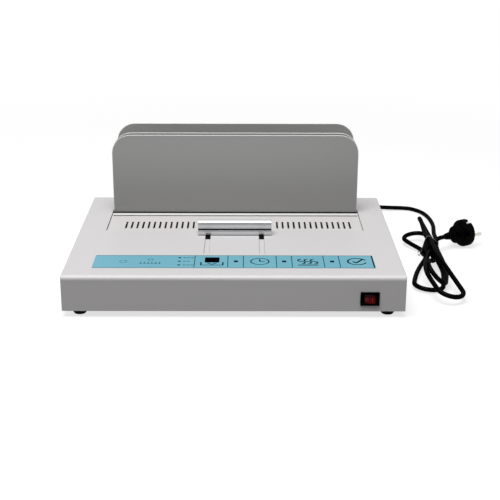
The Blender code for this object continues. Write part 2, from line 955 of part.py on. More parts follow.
def controls(look):
    """The printed panel, the lights under it, the circuit board on its spacers and what is on it."""
    label = box(
        (-panel_width / 2, back(panel_front), deck_top + seat_gap),
        (panel_width / 2, back(panel_front + panel_depth), deck_top + seat_gap + panel_sheet),
    )
    make("control_panel", label, look["panel"], (0, back(panel_front), deck_top))
    board_low = board_top - board_thickness
    board_y = back(board_front + board_depth / 2)
    board = make(
        "circuit_board",
        block((board_centre_x, board_y, board_low), (board_width, board_depth, board_thickness)),
        look["circuit"],
        (board_centre_x, board_y, board_top),
    )
    light_y = back(panel_front + panel_depth / 2)
    for number, x in enumerate(light_offsets, start=1):
        seat = board_top + seat_gap
        dome = deck_top - seat
        light = turned(
            [
                (0, 0),
                (light_collar_radius, 0),
                (light_collar_radius, light_collar_height),
                (light_radius, light_collar_height),
                (light_radius, dome - light_radius / 2),
                (light_radius * diagonal_share, dome - light_radius / 4),
                (0, dome),
            ],
            (x, light_y, seat),
            (0, 0, 1),
            12,
        )
        make(f"indicator_light_{number}", light, look["lamp"], (x, light_y, seat))
    across, along = board_width / 2 - spacer_inset, board_depth / 2 - spacer_inset
    for end, sign_y in (("front", -1), ("rear", 1)):
        for side, sign_x in (("left", -1), ("right", 1)):
            x, y = board_centre_x + sign_x * across, board_y + sign_y * along
            pillar = peg(
                (x, y, board_top + seat_gap), (0, 0, 1), spacer_radius, board_drop - 2 * seat_gap, 6
            )
            make(f"board_spacer_{end}_{side}", pillar, look["nylon"], (x, y, board_top))
    under = board_low - seat_gap
    relay_x = board_centre_x + board_width / 4
    case = block((relay_x, board_y, under - relay_height), (relay_width, relay_depth, relay_height))
    bevelled(case, relay_edge, lambda edge: not around(edge, 2, under))
    make("relay", case, look["black_plastic"], (relay_x, board_y, under))
    buzzer_x = board_centre_x - board_width / 4
    buzzer = turned(
        [
            (0, -buzzer_height + buzzer_port_depth),
            (buzzer_port_radius, -buzzer_height + buzzer_port_depth),
            (buzzer_port_radius, -buzzer_height),
            (buzzer_radius, -buzzer_height),
            (buzzer_radius, 0),
            (0, 0),
        ],
        (buzzer_x, board_y, under),
        (0, 0, 1),
        20,
    )
    make("buzzer", buzzer, look["black_plastic"], (buzzer_x, board_y, under))
    return board


def supply(look):
    """The transformer and the terminal block on the pan, with the wires inside the housing."""
    low = pan_top + seat_gap
    y = back(transformer_from_front)
    core = make(
        "transformer",
        block((transformer_x, y, low), (core_width, core_depth, core_height)),
        look["laminations"],
        (transformer_x, y, low),
    )
    winding_low = low + (core_height - winding_height) / 2
    unite(
        core,
        block((transformer_x, y, winding_low), (winding_width, winding_depth, winding_height)),
        "winding",
    )
    y = back(terminal_from_front)
    upper = terminal_depth - terminal_step
    section = [
        (y - terminal_depth / 2, low),
        (y + terminal_depth / 2, low),
        (y + terminal_depth / 2, low + terminal_height - terminal_step),
        (y + upper / 2, low + terminal_height - terminal_step),
        (y + upper / 2, low + terminal_height),
        (y - upper / 2, low + terminal_height),
        (y - upper / 2, low + terminal_height - terminal_step),
        (y - terminal_depth / 2, low + terminal_height - terminal_step),
    ]
    terminals = prism(section, "X", terminal_x - terminal_width / 2, terminal_x + terminal_width / 2)
    make("terminal_block", terminals, look["nylon"], (terminal_x, y, low))

    rise = low + wire_diameter / 2 + floor_gap
    inner = back(base_depth - cover_sheet - relief_inner) - seat_gap
    entry = back(terminal_from_front + terminal_depth / 2) + seat_gap
    entry_z = low + (terminal_height - terminal_step) / 2
    clear_x = window_width / 2 + slide_margin + running_gap + rail_web + wire_diameter
    mains = [
        (cord_exit_x, inner, cord_exit_height),
        (cord_exit_x, inner - wire_diameter * 2, cord_exit_height),
        (cord_exit_x, inner - wire_diameter * 5, rise + wire_diameter),
        (cord_exit_x - wire_diameter, (inner + entry) / 2 + wire_diameter * 4, rise),
        (terminal_x + wire_diameter, (inner + entry) / 2 - wire_diameter * 2, rise),
        (terminal_x, entry + wire_diameter * 3, rise),
        (terminal_x, entry + wire_diameter, entry_z),
        (terminal_x, entry, entry_z),
    ]
    tube("mains_wire", smooth_route(mains), wire_diameter, look["cord"], 8, wire_diameter * 3)
    start = back(terminal_from_front - terminal_depth / 2) - seat_gap
    switch_back = back(cover_sheet + switch_body_depth) + seat_gap
    feed = [
        (terminal_x, start, entry_z),
        (terminal_x, start - wire_diameter, entry_z),
        (terminal_x, start - wire_diameter * 4, rise),
        (terminal_x + wire_diameter * 2, (start + switch_back) / 2, rise),
        (switch_x, switch_back + wire_diameter * 6, rise + wire_diameter / 2),
        (switch_x, switch_back + wire_diameter * 2, switch_z),
        (switch_x, switch_back, switch_z),
    ]
    tube("switch_wire", smooth_route(feed), wire_diameter, look["cord"], 8, wire_diameter * 3)


def power_switch(look):
    """The switch housing with its bezel, and the rocker that turns in it about an upright axis."""
    bezel_low, bezel_high = back(-seat_gap - bezel_thickness), back(-seat_gap)
    bezel = box(
        (switch_x - bezel_width / 2, bezel_low, switch_z - bezel_height / 2),
        (switch_x + bezel_width / 2, bezel_high, switch_z + bezel_height / 2),
    )
    bevelled(bezel, bezel_edge, lambda edge: around(edge, 1, bezel_low))
    housing_piece = make("switch_housing", bezel, look["black_plastic"], (switch_x, bezel_high, switch_z))
    unite(
        housing_piece,
        box(
            (
                switch_x - switch_body_width / 2,
                bezel_low + bezel_thickness / 2,
                switch_z - switch_body_height / 2,
            ),
            (
                switch_x + switch_body_width / 2,
                back(cover_sheet + switch_body_depth),
                switch_z + switch_body_height / 2,
            ),
        ),
        "body",
    )
    pivot = Vector((switch_x, bezel_low + rocker_setback, switch_z))
    room = rocker_radius + rocker_gap
    half = rocker_height / 2
    cavity = box(
        (pivot.x - room, bezel_low - cut_overrun, pivot.z - half - rocker_gap),
        (pivot.x + room, pivot.y + room, pivot.z + half + rocker_gap),
    )
    cut(housing_piece, cavity, "cavity")
    pin_room = rocker_pin_radius + hole_gap
    sockets = peg(
        (pivot.x, pivot.y, pivot.z - half - rocker_pin_reach - rocker_gap), (0, 0, 1), pin_room,
        rocker_height + 2 * (rocker_pin_reach + rocker_gap), 12
    )
    cut(housing_piece, sockets, "pin_sockets")

    corner = math.degrees(math.atan2(rocker_corner_y, rocker_corner_x))
    outline = [(pivot.x, pivot.y - rocker_crest)]
    outline += arc((pivot.x, pivot.y), rocker_radius, -corner, 180 + corner, 20)
    shape = prism(outline, "Z", pivot.z - half, pivot.z + half)
    bmesh.ops.rotate(shape, verts=shape.verts, cent=pivot, matrix=Matrix.Rotation(-facet, 3, "Z"))
    rocker = make("rocker", shape, look["rocker"], pivot)
    pin = peg(
        (pivot.x, pivot.y, pivot.z - half - rocker_pin_reach),
        (0, 0, 1),
        rocker_pin_radius,
        rocker_height + 2 * rocker_pin_reach,
        12,
    )
    unite(rocker, pin, "pivot_pin")


def tube(name, points, diameter, look, sides, spacing):
    """A round tube along a smooth line, as a curve with a bevel and filled caps."""
    line = square_ends(points, diameter, spacing)
    curve = bpy.data.curves.new(name, "CURVE")
    curve.dimensions = "3D"
    curve.bevel_depth = diameter / 2
    curve.bevel_resolution = sides // 2 - 2
    curve.use_fill_caps = True
    curve.twist_mode = "MINIMUM"
    spline = curve.splines.new("POLY")
    spline.points.add(len(line) - 1)
    start = Vector(line[0])
    for point, place in zip(spline.points, line):
        point.co = (*(Vector(place) - start), 1)
    spline.use_smooth = True
    curve.materials.append(look)
    piece = bpy.data.objects.new(name, curve)
    piece.location = start
    bpy.context.scene.collection.objects.link(piece)
    return piece


def evenly(points, spacing):
    """Points at even distances along a line, with both of its ends."""
    points = np.asarray(points, float)
    along = np.concatenate([[0], np.cumsum(np.linalg.norm(np.diff(points, axis=0), axis=1))])
    steps = max(2, round(along[-1] / spacing))
    at = np.linspace(0, along[-1], steps + 1)
    return np.stack([np.interp(at, along, points[:, axis]) for axis in range(3)], axis=1)


def square_ends(points, diameter, spacing):
    """Even points along a line whose first and last stretches, one diameter long, are straight."""
    points = np.asarray(points, float)
    along = np.concatenate([[0], np.cumsum(np.linalg.norm(np.diff(points, axis=0), axis=1))])
    steps = max(2, round((along[-1] - 2 * diameter) / spacing))
    at = [0, *np.linspace(diameter, along[-1] - diameter, steps + 1), along[-1]]
    return np.stack([np.interp(at, along, points[:, axis]) for axis in range(3)], axis=1)


def smooth_route(points, steps=12):
    """A smooth curve through the points of a route."""
    points = np.asarray(points, float)
    ends = np.vstack([2 * points[0] - points[1], points, 2 * points[-1] - points[-2]])
    line = []
    for before, start, end, after in zip(ends, ends[1:], ends[2:], ends[3:]):
        for share in np.arange(steps) / steps:
            line.append(
                (
                    2 * start
                    + (end - before) * share
                    + (2 * before - 5 * start + 4 * end - after) * share**2
                    + (3 * start - before - 3 * end + after) * share**3
                )
                / 2
            )
    return np.array([*line, points[-1]])


# The lead's route from the strain relief to the hank, round behind the machine and forward along
# the floor: X and Y from the machine's right rear corner, and the height
lead_route = (
    (-0.0498, 0.0418, 0.0214),
    (-0.0482, 0.0548, 0.0190),
    (-0.0415, 0.0718, 0.0150),
    (-0.0275, 0.0878, 0.0105),
    (-0.0080, 0.0968, 0.0075),
    (0.0130, 0.0995, 0.0058),
    (0.0330, 0.1000, 0.0048),
    (0.0505, 0.1002, 0.0042),
    (0.0640, 0.0972, 0.0037),
    (0.0765, 0.0830, 0.0034),
    (0.0833, 0.0620, 0.0032),
    (0.0856, 0.0380, 0.0032),
    (0.0853, 0.0160, 0.0032),
    (0.0833, 0.0000, 0.0032),
    (0.0807, -0.0212, 0.0032),
    (0.0800, -0.0420, 0.0032),
    (0.0776, -0.0622, 0.0034),
)

# The hank: strands pass through a tied waist and fold back at bights on both sides of it. Each
# pass is (across, layer) at its rear end and at its front end, across counted in strand offsets.
waist_from_side = 0.0650
waist_from_rear = 0.1062
waist_x = corner_x + waist_from_side
waist_y = corner_y - waist_from_rear
plug_from_side = 0.0855
plug_from_rear = 0.0792
plug_x = corner_x + plug_from_side
plug_y = corner_y - plug_from_rear
waist_half_length = 0.0130
pass_shares = (
    ((1.44, 0), (0.32, 0)),
    ((-2.07, 0), (-1.80, 0)),
    ((-0.88, 1), (-0.74, 1)),
    ((0.64, 1), (0.83, 1)),
    ((-1.29, 3), (-0.65, 3)),
    ((1.02, 2), (-0.45, 2)),
)


def layer(number):
    """The height of a strand's middle in this layer of the hank."""
    return cord_diameter / 2 + tie_lift + number * strand_step


def leg(start, start_way, end, end_way, steps, start_pull=1.0, end_pull=1.0):
    """A smooth line that leaves one place and reaches another in given directions."""
    reach = np.linalg.norm(end - start)
    line = []
    for share in np.arange(steps) / steps:
        line.append(
            (2 * share**3 - 3 * share**2 + 1) * start
            + (share**3 - 2 * share**2 + share) * reach * start_pull * start_way
            + (3 * share**2 - 2 * share**3) * end
            + (share**3 - share**2) * reach * end_pull * end_way
        )
    return line


class Bight:
    """A folded end of the hank: two smooth legs from the waist and a round fold between them.

    way is +1 to the rear or -1 to the front, and side +1 where the leg that goes out is on the
    right. angles are the fold's turn, roll and pitch in degrees. place is the fold's middle, across
    and away from the waist, and its height. pulls say how firmly each leg leaves and arrives.
    """

    def __init__(self, way, side, angles, place, radius, out_pulls, back_pulls):
        self.way, self.radius, self.out_pulls, self.back_pulls = way, radius, out_pulls, back_pulls
        turn, roll, pitch = (math.radians(angle) for angle in angles)
        level = math.cos(pitch)
        self.axis = np.array([-math.sin(turn) * level, way * math.cos(turn) * level, -math.sin(pitch)])
        flat = np.array([math.cos(turn), way * math.sin(turn), 0]) * side
        self.out = flat * math.cos(roll) - np.array([0, 0, math.sin(roll)])
        across, away, height = place
        self.centre = np.array([waist_x + across, waist_y + way * away, height])

    def points(self, start, end, way_in, leg_steps=30, fold_steps=20):
        along = np.array([0, self.way, 0])
        first, last = self.centre + self.out * self.radius, self.centre - self.out * self.radius
        line = leg(start, along, first, self.axis, leg_steps, *self.out_pulls)
        for angle in np.arange(fold_steps) * math.pi / fold_steps:
            line.append(
                self.centre + self.radius * (math.cos(angle) * self.out + math.sin(angle) * self.axis)
            )
        return line + leg(last, -self.axis, end, way_in, leg_steps, *self.back_pulls)


bights = (
    Bight(-1, 1, (10.9, 4.6, 0.0), (-0.0229, 0.1178, 0.0047), 0.0180,
          (1.55, 1.70), (1.70, 0.38)),
    Bight(1, -1, (14.5, 8.3, 0.0), (-0.0164, 0.0481, 0.0107), 0.0156,
          (0.39, 1.65), (1.28, 0.38)),
    Bight(-1, -1, (12.1, -46.0, 0.0), (-0.0138, 0.1201, 0.0214), 0.0164,
          (1.70, 0.68), (1.22, 1.55)),
    Bight(1, 1, (2.7, 60.0, 0.0), (-0.0001, 0.0697, 0.0168), 0.0157,
          (0.98, 1.07), (0.80, 1.06)),
    Bight(-1, 1, (-13.7, 9.9, 13.2), (-0.0045, 0.1585, 0.0143), 0.0170,
          (1.40, 1.61), (0.70, 1.70)),
)


def waist_place(number, end):
    """Where a pass crosses the waist's rear end (0) or front end (1)."""
    across, level = pass_shares[number][end]
    y = waist_y + (waist_half_length if end == 0 else -waist_half_length)
    return np.array([waist_x + across * strand_offset, y, layer(level)])


def last_pass():
    """Where the last pass enters the waist from the front, where it leaves it, and its direction."""
    enters, leaves = waist_place(len(bights), 1), waist_place(len(bights), 0)
    return enters, leaves, (leaves - enters) / np.linalg.norm(leaves - enters)


def hank_line():
    """The middle of the cord through the hank, with a straight stretch at each end."""
    start = waist_place(0, 0)
    along = np.array([0, 1, 0])
    line = [start + along * cord_diameter * share for share in (1.1, 0.5)]
    for number, bight in enumerate(bights):
        end = 1 if bight.way < 0 else 0
        ahead = along * bight.way
        line += leg(waist_place(number, 1 - end), ahead, waist_place(number, end), ahead, 12)
        last = number == len(bights) - 1
        way_in = last_pass()[2] if last else -ahead
        line += bight.points(waist_place(number, end), waist_place(number + 1, end), way_in)
    enters, _, ahead = last_pass()
    line += [enters + ahead * cord_diameter * share for share in (0, 0.5, 1.1)]
    return np.array(line)


def least_gap(line, diameter):
    """The smallest distance between two stretches of the tube's skin that aren't neighbours."""
    fine = evenly(line, diameter / 3)
    apart = np.linalg.norm(fine[:, None] - fine[None], axis=2)
    first, second = np.indices(apart.shape)
    apart[abs(first - second) < 12] = math.inf
    return apart.min() - diameter


def mains_lead(look):
    """The strain relief, the lead with its tied hank, and the plug."""
    wall_y = back(base_depth)
    relief = turned(
        [
            (0, -cover_sheet - relief_inner),
            (relief_neck_radius, -cover_sheet - relief_inner),
            (relief_neck_radius, seat_gap),
            (relief_flange_radius, seat_gap),
            (relief_flange_radius, seat_gap + relief_flange),
            (relief_root_radius, seat_gap + relief_flange),
            (relief_tip_radius, relief_length),
            (0, relief_length),
        ],
        (cord_exit_x, wall_y, cord_exit_height),
        (0, 1, 0),
        20,
    )
    make("strain_relief", relief, look["cord"], (cord_exit_x, wall_y, cord_exit_height))
    straight = cord_diameter * 1.2
    lead_start = np.array([cord_exit_x, wall_y + relief_length + seat_gap, cord_exit_height])
    hank = hank_line()
    along = np.array([0, 1, 0])
    lead_end = hank[0] + along * seat_gap
    lead = smooth_route(
        [lead_start, lead_start + along * straight / 2, lead_start + along * straight]
        + [np.array((corner_x + x, corner_y + y, z)) for x, y, z in lead_route]
        + [lead_end + along * straight, lead_end + along * straight / 2, lead_end]
    )
    tube("cord_lead", lead, cord_diameter, look["cord"], 8, lead_spacing)
    tube("cord_hank", hank, cord_diameter, look["cord"], 6, hank_spacing)
    print(
        f"hank: {len(bights)} bights, least gap to itself {least_gap(hank, cord_diameter) * 1000:.2f} mm"
    )

    heading = math.radians(plug_heading_degrees)
    way = Vector((math.sin(heading), math.cos(heading), 0))
    plug_start = Vector((plug_x, plug_y, plug_radius + floor_gap))
    _, leaves, through = last_pass()
    tail_start, ahead = hank[-1] + through * seat_gap, np.array(way)
    tail_end = np.array(plug_start) - ahead * seat_gap
    into = leg(leaves, through, tail_end - ahead * cord_diameter, ahead, 12)
    tail = [
        tail_start,
        tail_start + through * cord_diameter,
        *into,
        tail_end - ahead * cord_diameter,
        tail_end,
    ]
    tube("cord_tail", tail, cord_diameter, look["cord"], 8, cord_diameter * 2)
    body_start = plug_boot_length
    body_end = plug_boot_length + plug_body_length
    shoulder = plug_body_length * plug_shoulder_share
    body = turned(
        [
            (0, 0),
            (cord_diameter / 2 + tie_thickness, 0),
            (plug_boot_radius, body_start),
            (plug_radius * plug_flat_share, body_start + shoulder),
            (plug_radius, body_start + shoulder * 2),
            (plug_radius, body_end),
            (0, body_end),
        ],
        plug_start,
        way,
        24,
    )
    plug = make("plug_body", body, look["cord"], plug_start)
    roll = math.radians(plug_roll_degrees)
    across = Vector((way.y, -way.x, 0)) * math.cos(roll) - Vector((0, 0, math.sin(roll)))
    face = plug_start + way * body_end
    holes = []
    for name, sign in (("plug_pin_left", -1), ("plug_pin_right", 1)):
        middle = face + across * sign * pin_spacing / 2
        root = middle - way * pin_root
        holes.append(
            peg(root - way * hole_gap, way, pin_radius + hole_gap, pin_root + hole_gap + cut_overrun, 12)
        )
        tip = pin_root + pin_length
        pin = turned(
            [
                (0, 0),
                (pin_radius, 0),
                (pin_radius, tip - pin_radius),
                (pin_radius * diagonal_share, tip - pin_radius / 3),
                (0, tip),
            ],
            root,
            way,
            12,
        )
        make(name, pin, look["nickel"], root)
    cut(plug, together(*holes), "pin_sockets")


def twist_tie(look):
    """The flat tie round the hank's waist, with its twisted tail on the left."""
    _, leaves, through = last_pass()
    enters = hank_line()[-1]
    strands = np.vstack([evenly(hank_line(), tie_width / 4), evenly([enters, leaves], tie_width / 4)])
    near = strands[abs(strands[:, 1] - waist_y) < tie_width]
    reach = cord_diameter / 2 + tie_clearance
    low, high = near.min(axis=0) - reach, near.max(axis=0) + reach

    def ring(grow):
        left, right, bottom, top = low[0] - grow, high[0] + grow, low[2] - grow, high[2] + grow
        radius = cord_diameter / 3 + grow
        corners = ((right, bottom, -90), (right, top, 0), (left, top, 90), (left, bottom, 180))
        points = []
        for x, z, angle in corners:
            centre = (x + (radius if x == left else -radius), z + (radius if z == bottom else -radius))
            points += arc(centre, radius, angle, angle + 90, 4)
        return points

    y = waist_y
    band = make(
        "cord_tie",
        prism(ring(tie_thickness), "Y", y - tie_width / 2, y + tie_width / 2),
        look["tie"],
        (waist_x, y, low[2]),
    )
    cut(band, prism(ring(0), "Y", y - tie_width, y + tie_width), "inside")
    left = low[0] - tie_thickness
    level = layer(1)
    tail = box(
        (left - tie_tail_length, y - tie_tail_height / 2, level),
        (left + tie_thickness / 2, y + tie_tail_height / 2, level + tie_tail_height),
    )
    unite(band, tail, "tail")


tie_clearance = 0.0004
foot_places = [
    (side * (base_width / 2 - foot_inset_x), y)
    for y in (back(foot_inset_y), back(base_depth - foot_inset_y))
    for side in (-1, 1)
]
side_screw_ys = (back(cover_screw_from_end), back(base_depth - cover_screw_from_end))
side_screw_z = pan_bottom + cover_screw_height
middle_plate_face = plate_front + plate_step
middle_screw_y = back(middle_plate_face + plate_flange_depth * plate_screw_share)
rear_screw_y = back(base_depth - plate_flange_depth * plate_screw_share)


def main():
    clear_scene()
    look = {
        "cover": finish("powder_coat", (0.68, 0.67, 0.66), 0.45),
        "plate": finish("plate_coat", (0.62, 0.61, 0.60), 0.45),
        "pan": finish("zinc_sheet", (0.55, 0.56, 0.57), 0.35, 1.0),
        "steel": finish("bright_steel", (0.60, 0.60, 0.60), 0.30, 1.0),
        "aluminium": finish("brushed_aluminium", (0.72, 0.73, 0.75), 0.28, 1.0),
        "nickel": finish("nickel", (0.66, 0.64, 0.60), 0.25, 1.0),
        "rubber": finish("rubber", (0.03, 0.03, 0.03), 0.80),
        "black_plastic": finish("black_plastic", (0.02, 0.02, 0.02), 0.40),
        "rocker": finish("rocker_red", (0.16, 0.02, 0.02), 0.25),
        "nylon": finish("nylon", (0.75, 0.74, 0.70), 0.50),
        "mica": finish("mica", (0.52, 0.40, 0.24), 0.50),
        "board": finish("insulation", (0.80, 0.78, 0.72), 0.90),
        "circuit": finish("circuit_green", (0.04, 0.24, 0.10), 0.40),
        "lamp": finish("lamp", (0.45, 0.06, 0.05), 0.20),
        "laminations": finish("laminations", (0.25, 0.25, 0.27), 0.50, 1.0),
        "panel": finish("panel_blue", (0.20, 0.50, 0.60), 0.40),
        "cord": finish("cord_black", (0.015, 0.015, 0.015), 0.35),
        "tie": finish("tie_black", (0.03, 0.03, 0.03), 0.50),
    }
    axis = bpy.data.objects.new("carriage_axis", None)
    axis.location = (0, closed_post_y, slide_top)
    bpy.context.scene.collection.objects.link(axis)
    housing(look, look["steel"])
    fixed_plate("middle_plate", back(middle_plate_face), 1, middle_screw_y, look["plate"], look["steel"])
    fixed_plate(
        "rear_plate", back(base_depth - plate_sheet), -1, rear_screw_y, look["plate"], look["steel"]
    )
    clamp_carriage(look, look["steel"], axis)
    slide_rails(look)
    heater(look)
    controls(look)
    supply(look)
    power_switch(look)
    mains_lead(look)
    twist_tie(look)


main()
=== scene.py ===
"""Looks for a desktop thermal binding machine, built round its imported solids.

Each sub-assembly is a class that holds its own sizes, models its pieces and dresses them: the
housing, the fixed clamp plates, the clamp carriage with its pull handle, the slide rails, the
heater, the controls, the supply, the power switch and the mains lead tied in a hank. Metres, +X to
the right seen from the front, +Y to the rear, +Z up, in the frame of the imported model.
"""
import logging
import math
from collections.abc import Callable, Iterable, Mapping, Sequence
from dataclasses import dataclass, replace
from enum import Enum

import bmesh
import bpy
import numpy as np
from mathutils import Matrix, Vector
from mathutils.geometry import convex_hull_2d


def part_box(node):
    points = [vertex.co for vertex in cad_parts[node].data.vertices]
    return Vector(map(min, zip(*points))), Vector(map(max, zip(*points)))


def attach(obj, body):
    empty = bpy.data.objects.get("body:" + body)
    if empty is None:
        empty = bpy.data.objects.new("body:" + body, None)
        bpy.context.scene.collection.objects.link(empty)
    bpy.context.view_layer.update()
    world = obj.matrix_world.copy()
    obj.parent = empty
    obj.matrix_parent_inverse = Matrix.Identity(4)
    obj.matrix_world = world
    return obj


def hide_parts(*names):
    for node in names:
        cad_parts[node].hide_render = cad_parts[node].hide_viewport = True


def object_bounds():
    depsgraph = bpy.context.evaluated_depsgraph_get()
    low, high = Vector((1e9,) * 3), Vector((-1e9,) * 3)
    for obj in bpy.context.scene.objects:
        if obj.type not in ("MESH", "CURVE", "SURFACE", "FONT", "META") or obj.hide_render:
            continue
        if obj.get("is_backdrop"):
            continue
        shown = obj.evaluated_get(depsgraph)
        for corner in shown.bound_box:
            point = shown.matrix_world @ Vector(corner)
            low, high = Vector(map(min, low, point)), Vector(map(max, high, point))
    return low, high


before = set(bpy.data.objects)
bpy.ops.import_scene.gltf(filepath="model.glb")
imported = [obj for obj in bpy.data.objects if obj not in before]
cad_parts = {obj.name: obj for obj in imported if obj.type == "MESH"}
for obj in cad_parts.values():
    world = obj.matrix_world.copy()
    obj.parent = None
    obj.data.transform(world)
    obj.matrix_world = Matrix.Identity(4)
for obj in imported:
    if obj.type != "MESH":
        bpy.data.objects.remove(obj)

log = logging.getLogger("binding_machine")

Colour = tuple[float, float, float]
Point = tuple[float, float, float]
Pair = tuple[float, float]
Stroke = tuple[float, float, float, float]

WELD = 1e-6
FLAT = math.radians(0.5)
UP = Vector((0, 0, 1))

# How much of a face's normal lies along a direction that it faces squarely, half, or a little
SQUARELY, HALF, SLIGHTLY = 0.95, 0.5, 0.3

# Up to which angle faces shade as one surface: on turned pieces, folded sheets and blunt solids
TURNED, FOLDED, BLUNT = 35.0, 40.0, 50.0

CORNERS = ("front_left", "front_right", "rear_left", "rear_right")


class Body(Enum):
    """The bodies that pieces ride on."""

    MACHINE = "machine"
    CARRIAGE = "clamp_carriage"
    ROCKER = "power_rocker"


class Plane(Enum):
    """The two directions an outline is drawn in, and the one it is pushed along."""

    FLOOR = (Vector((1, 0, 0)), Vector((0, 1, 0)), Vector((0, 0, 1)))
    FRONT = (Vector((1, 0, 0)), Vector((0, 0, 1)), Vector((0, 1, 0)))
    SIDE = (Vector((0, 1, 0)), Vector((0, 0, 1)), Vector((1, 0, 0)))


class Pen(Enum):
    """The widths of the panel's printed lines."""

    SMALL_RING = 0.00066
    MIDDLE_RING = 0.00077
    SCALE = 0.00088
    DASH = 0.00143
    TRAY = 0.00165
    HAND = 0.00176
    WAVE = 0.00198
    BOLD = 0.00242


# Shader graphs


def operator(operation: str, swapped: bool = False) -> Callable[["Signal", "Signal | float"], "Signal"]:
    """A method of Signal that adds one Math node.

    Args:
        operation: What the node does.
        swapped: Whether the other value comes first, as in a reflected operator.

    Returns:
        The method.
    """

    def method(self: "Signal", other: "Signal | float") -> "Signal":
        """The signal that the node gives."""
        return self.graph.maths(operation, *((other, self) if swapped else (self, other)))

    return method


class Signal:
    """A shader socket that takes part in Python's own arithmetic."""

    def __init__(self, graph: "Graph", socket: bpy.types.NodeSocket) -> None:
        """Keeps the socket and the graph that it belongs to."""
        self.graph = graph
        self.socket = socket

    __add__, __radd__ = operator("ADD"), operator("ADD", swapped=True)
    __sub__, __rsub__ = operator("SUBTRACT"), operator("SUBTRACT", swapped=True)
    __mul__, __rmul__ = operator("MULTIPLY"), operator("MULTIPLY", swapped=True)
    __truediv__, __rtruediv__ = operator("DIVIDE"), operator("DIVIDE", swapped=True)
    __pow__, __rpow__ = operator("POWER"), operator("POWER", swapped=True)
    most = operator("MAXIMUM")

    def ramped(self, low: float, high: float) -> "Signal":
        """0 below low and 1 above high, with a smooth rise between them."""
        sockets = {"Value": self, "From Min": low, "From Max": high}
        return self.graph.node("MapRange", {"interpolation_type": "SMOOTHSTEP"}, sockets)


class Graph:
    """The nodes of one material or world."""

    def __init__(self, tree: bpy.types.NodeTree) -> None:
        """Keeps the node tree."""
        self.tree = tree

    def node(
        self,
        kind: str,
        settings: Mapping[str, object] | None = None,
        sockets: Mapping[str | int, object] | None = None,
        out: str | int = 0,
    ) -> Signal:
        """Adds one node.

        Args:
            kind: The node's type without its common prefix, such as TexNoise.
            settings: What is set on the node first, such as an operation, or a ramp's stops.
            sockets: Values or signals for its input sockets, by name or number.
            out: The output that is handed on.

        Returns:
            The node's output as a signal.
        """
        made = self.tree.nodes.new(f"ShaderNode{kind}")
        for key, value in (settings or {}).items():
            if key == "stops":
                ramp = made.color_ramp.elements
                while len(ramp) < len(value):
                    ramp.new(1.0)
                for element, (place, colour) in zip(ramp, value):
                    element.position, element.color = place, (*colour, 1.0)
            else:
                setattr(made, key, value)
        for key, value in (sockets or {}).items():
            self.feed(made.inputs[key], value)
        return Signal(self, made.outputs[out])

    def feed(self, socket: bpy.types.NodeSocket, value: object) -> None:
        """Links a signal to a socket, or sets the socket's own value."""
        if isinstance(value, Signal):
            self.tree.links.new(value.socket, socket)
        elif socket.type == "RGBA":
            socket.default_value = (*value[:3], 1.0)
        else:
            socket.default_value = value

    def maths(self, operation: str, *values: "Signal | float") -> Signal:
        """A Math node on two signals or numbers."""
        return self.node("Math", {"operation": operation}, dict(enumerate(values)))

    def mixed(self, share: "Signal | float", first: object, second: object) -> Signal:
        """A colour between two colours."""
        return self.node("Mix", {"data_type": "RGBA"}, {0: share, 6: first, 7: second}, out=2)

    def place(self, scale: Point = (1, 1, 1), turn: Point = (0, 0, 0)) -> Signal:
        """The piece's own coordinates, stretched and turned."""
        sockets = {"Vector": self.node("TexCoord", out="Object"), "Rotation": turn, "Scale": scale}
        return self.node("Mapping", None, sockets)

    def noise(self, scale: float, detail: float = 2.0, place: Signal | None = None) -> Signal:
        """Noise from 0 to 1 with this many swells per metre."""
        sockets = {"Vector": place or self.place(), "Scale": scale, "Detail": detail}
        return self.node("TexNoise", None, sockets)

    def axis(self, name: str, place: Signal | None = None) -> Signal:
        """One of the coordinates X, Y or Z."""
        return self.node("SeparateXYZ", None, {0: place or self.place()}, out=name)

    def bump(self, height: Signal, depth: float) -> Signal:
        """A surface normal from a height that runs from 0 to 1 over this depth."""
        return self.node("Bump", None, {"Distance": depth, "Height": height})


# Finishes


@dataclass(frozen=True)
class Finish:
    """What every finish has: its colour, its gloss, and how both vary over a piece."""

    name: str
    slot: str
    colour: Colour
    roughness: float
    metallic: float = 0.0
    specular: float = 0.5
    coat: float = 0.0
    coat_roughness: float = 0.1
    wander: float = 0.03
    wander_scale: float = 14.0
    grain_scale: float = 900.0
    grain_depth: float = 0.00001
    grain_gloss: float = 0.10

    def material(self) -> bpy.types.Material:
        """The finish as a material, made once and shared by every piece that has it."""
        found = bpy.data.materials.get(self.name)
        if found:
            return found
        made = bpy.data.materials.new(self.name)
        made.use_nodes = True
        graph = Graph(made.node_tree)
        shader = made.node_tree.nodes["Principled BSDF"].inputs
        shader["Metallic"].default_value = self.metallic
        shader["Specular IOR Level"].default_value = self.specular
        shader["Coat Weight"].default_value = self.coat
        shader["Coat Roughness"].default_value = self.coat_roughness
        self.fixed(shader)
        grain = self.grain(graph)
        graph.feed(shader["Base Color"], self.painted(graph, grain))
        graph.feed(shader["Roughness"], self.roughness + (grain - 0.5) * self.grain_gloss)
        graph.feed(shader["Normal"], graph.bump(grain, self.grain_depth))
        return made

    def fixed(self, shader: Mapping[str, bpy.types.NodeSocket]) -> None:
        """Sets what is the same all over the surface; a plain finish has nothing more."""

    def grain(self, graph: Graph) -> Signal:
        """The fine relief of the surface, from 0 to 1."""
        return graph.noise(self.grain_scale)

    def shaded(self, share: float) -> Colour:
        """The colour made lighter or darker."""
        return tuple(min(1.0, channel * share) for channel in self.colour)

    def wandered(self, graph: Graph, share: Signal) -> Signal:
        """The colour from its darkest tone to its lightest."""
        return graph.mixed(share, self.shaded(1 - self.wander), self.shaded(1 + self.wander))

    def painted(self, graph: Graph, grain: Signal) -> Signal:
        """The colour as it varies over the surface."""
        return self.wandered(graph, graph.noise(self.wander_scale, 1.0))


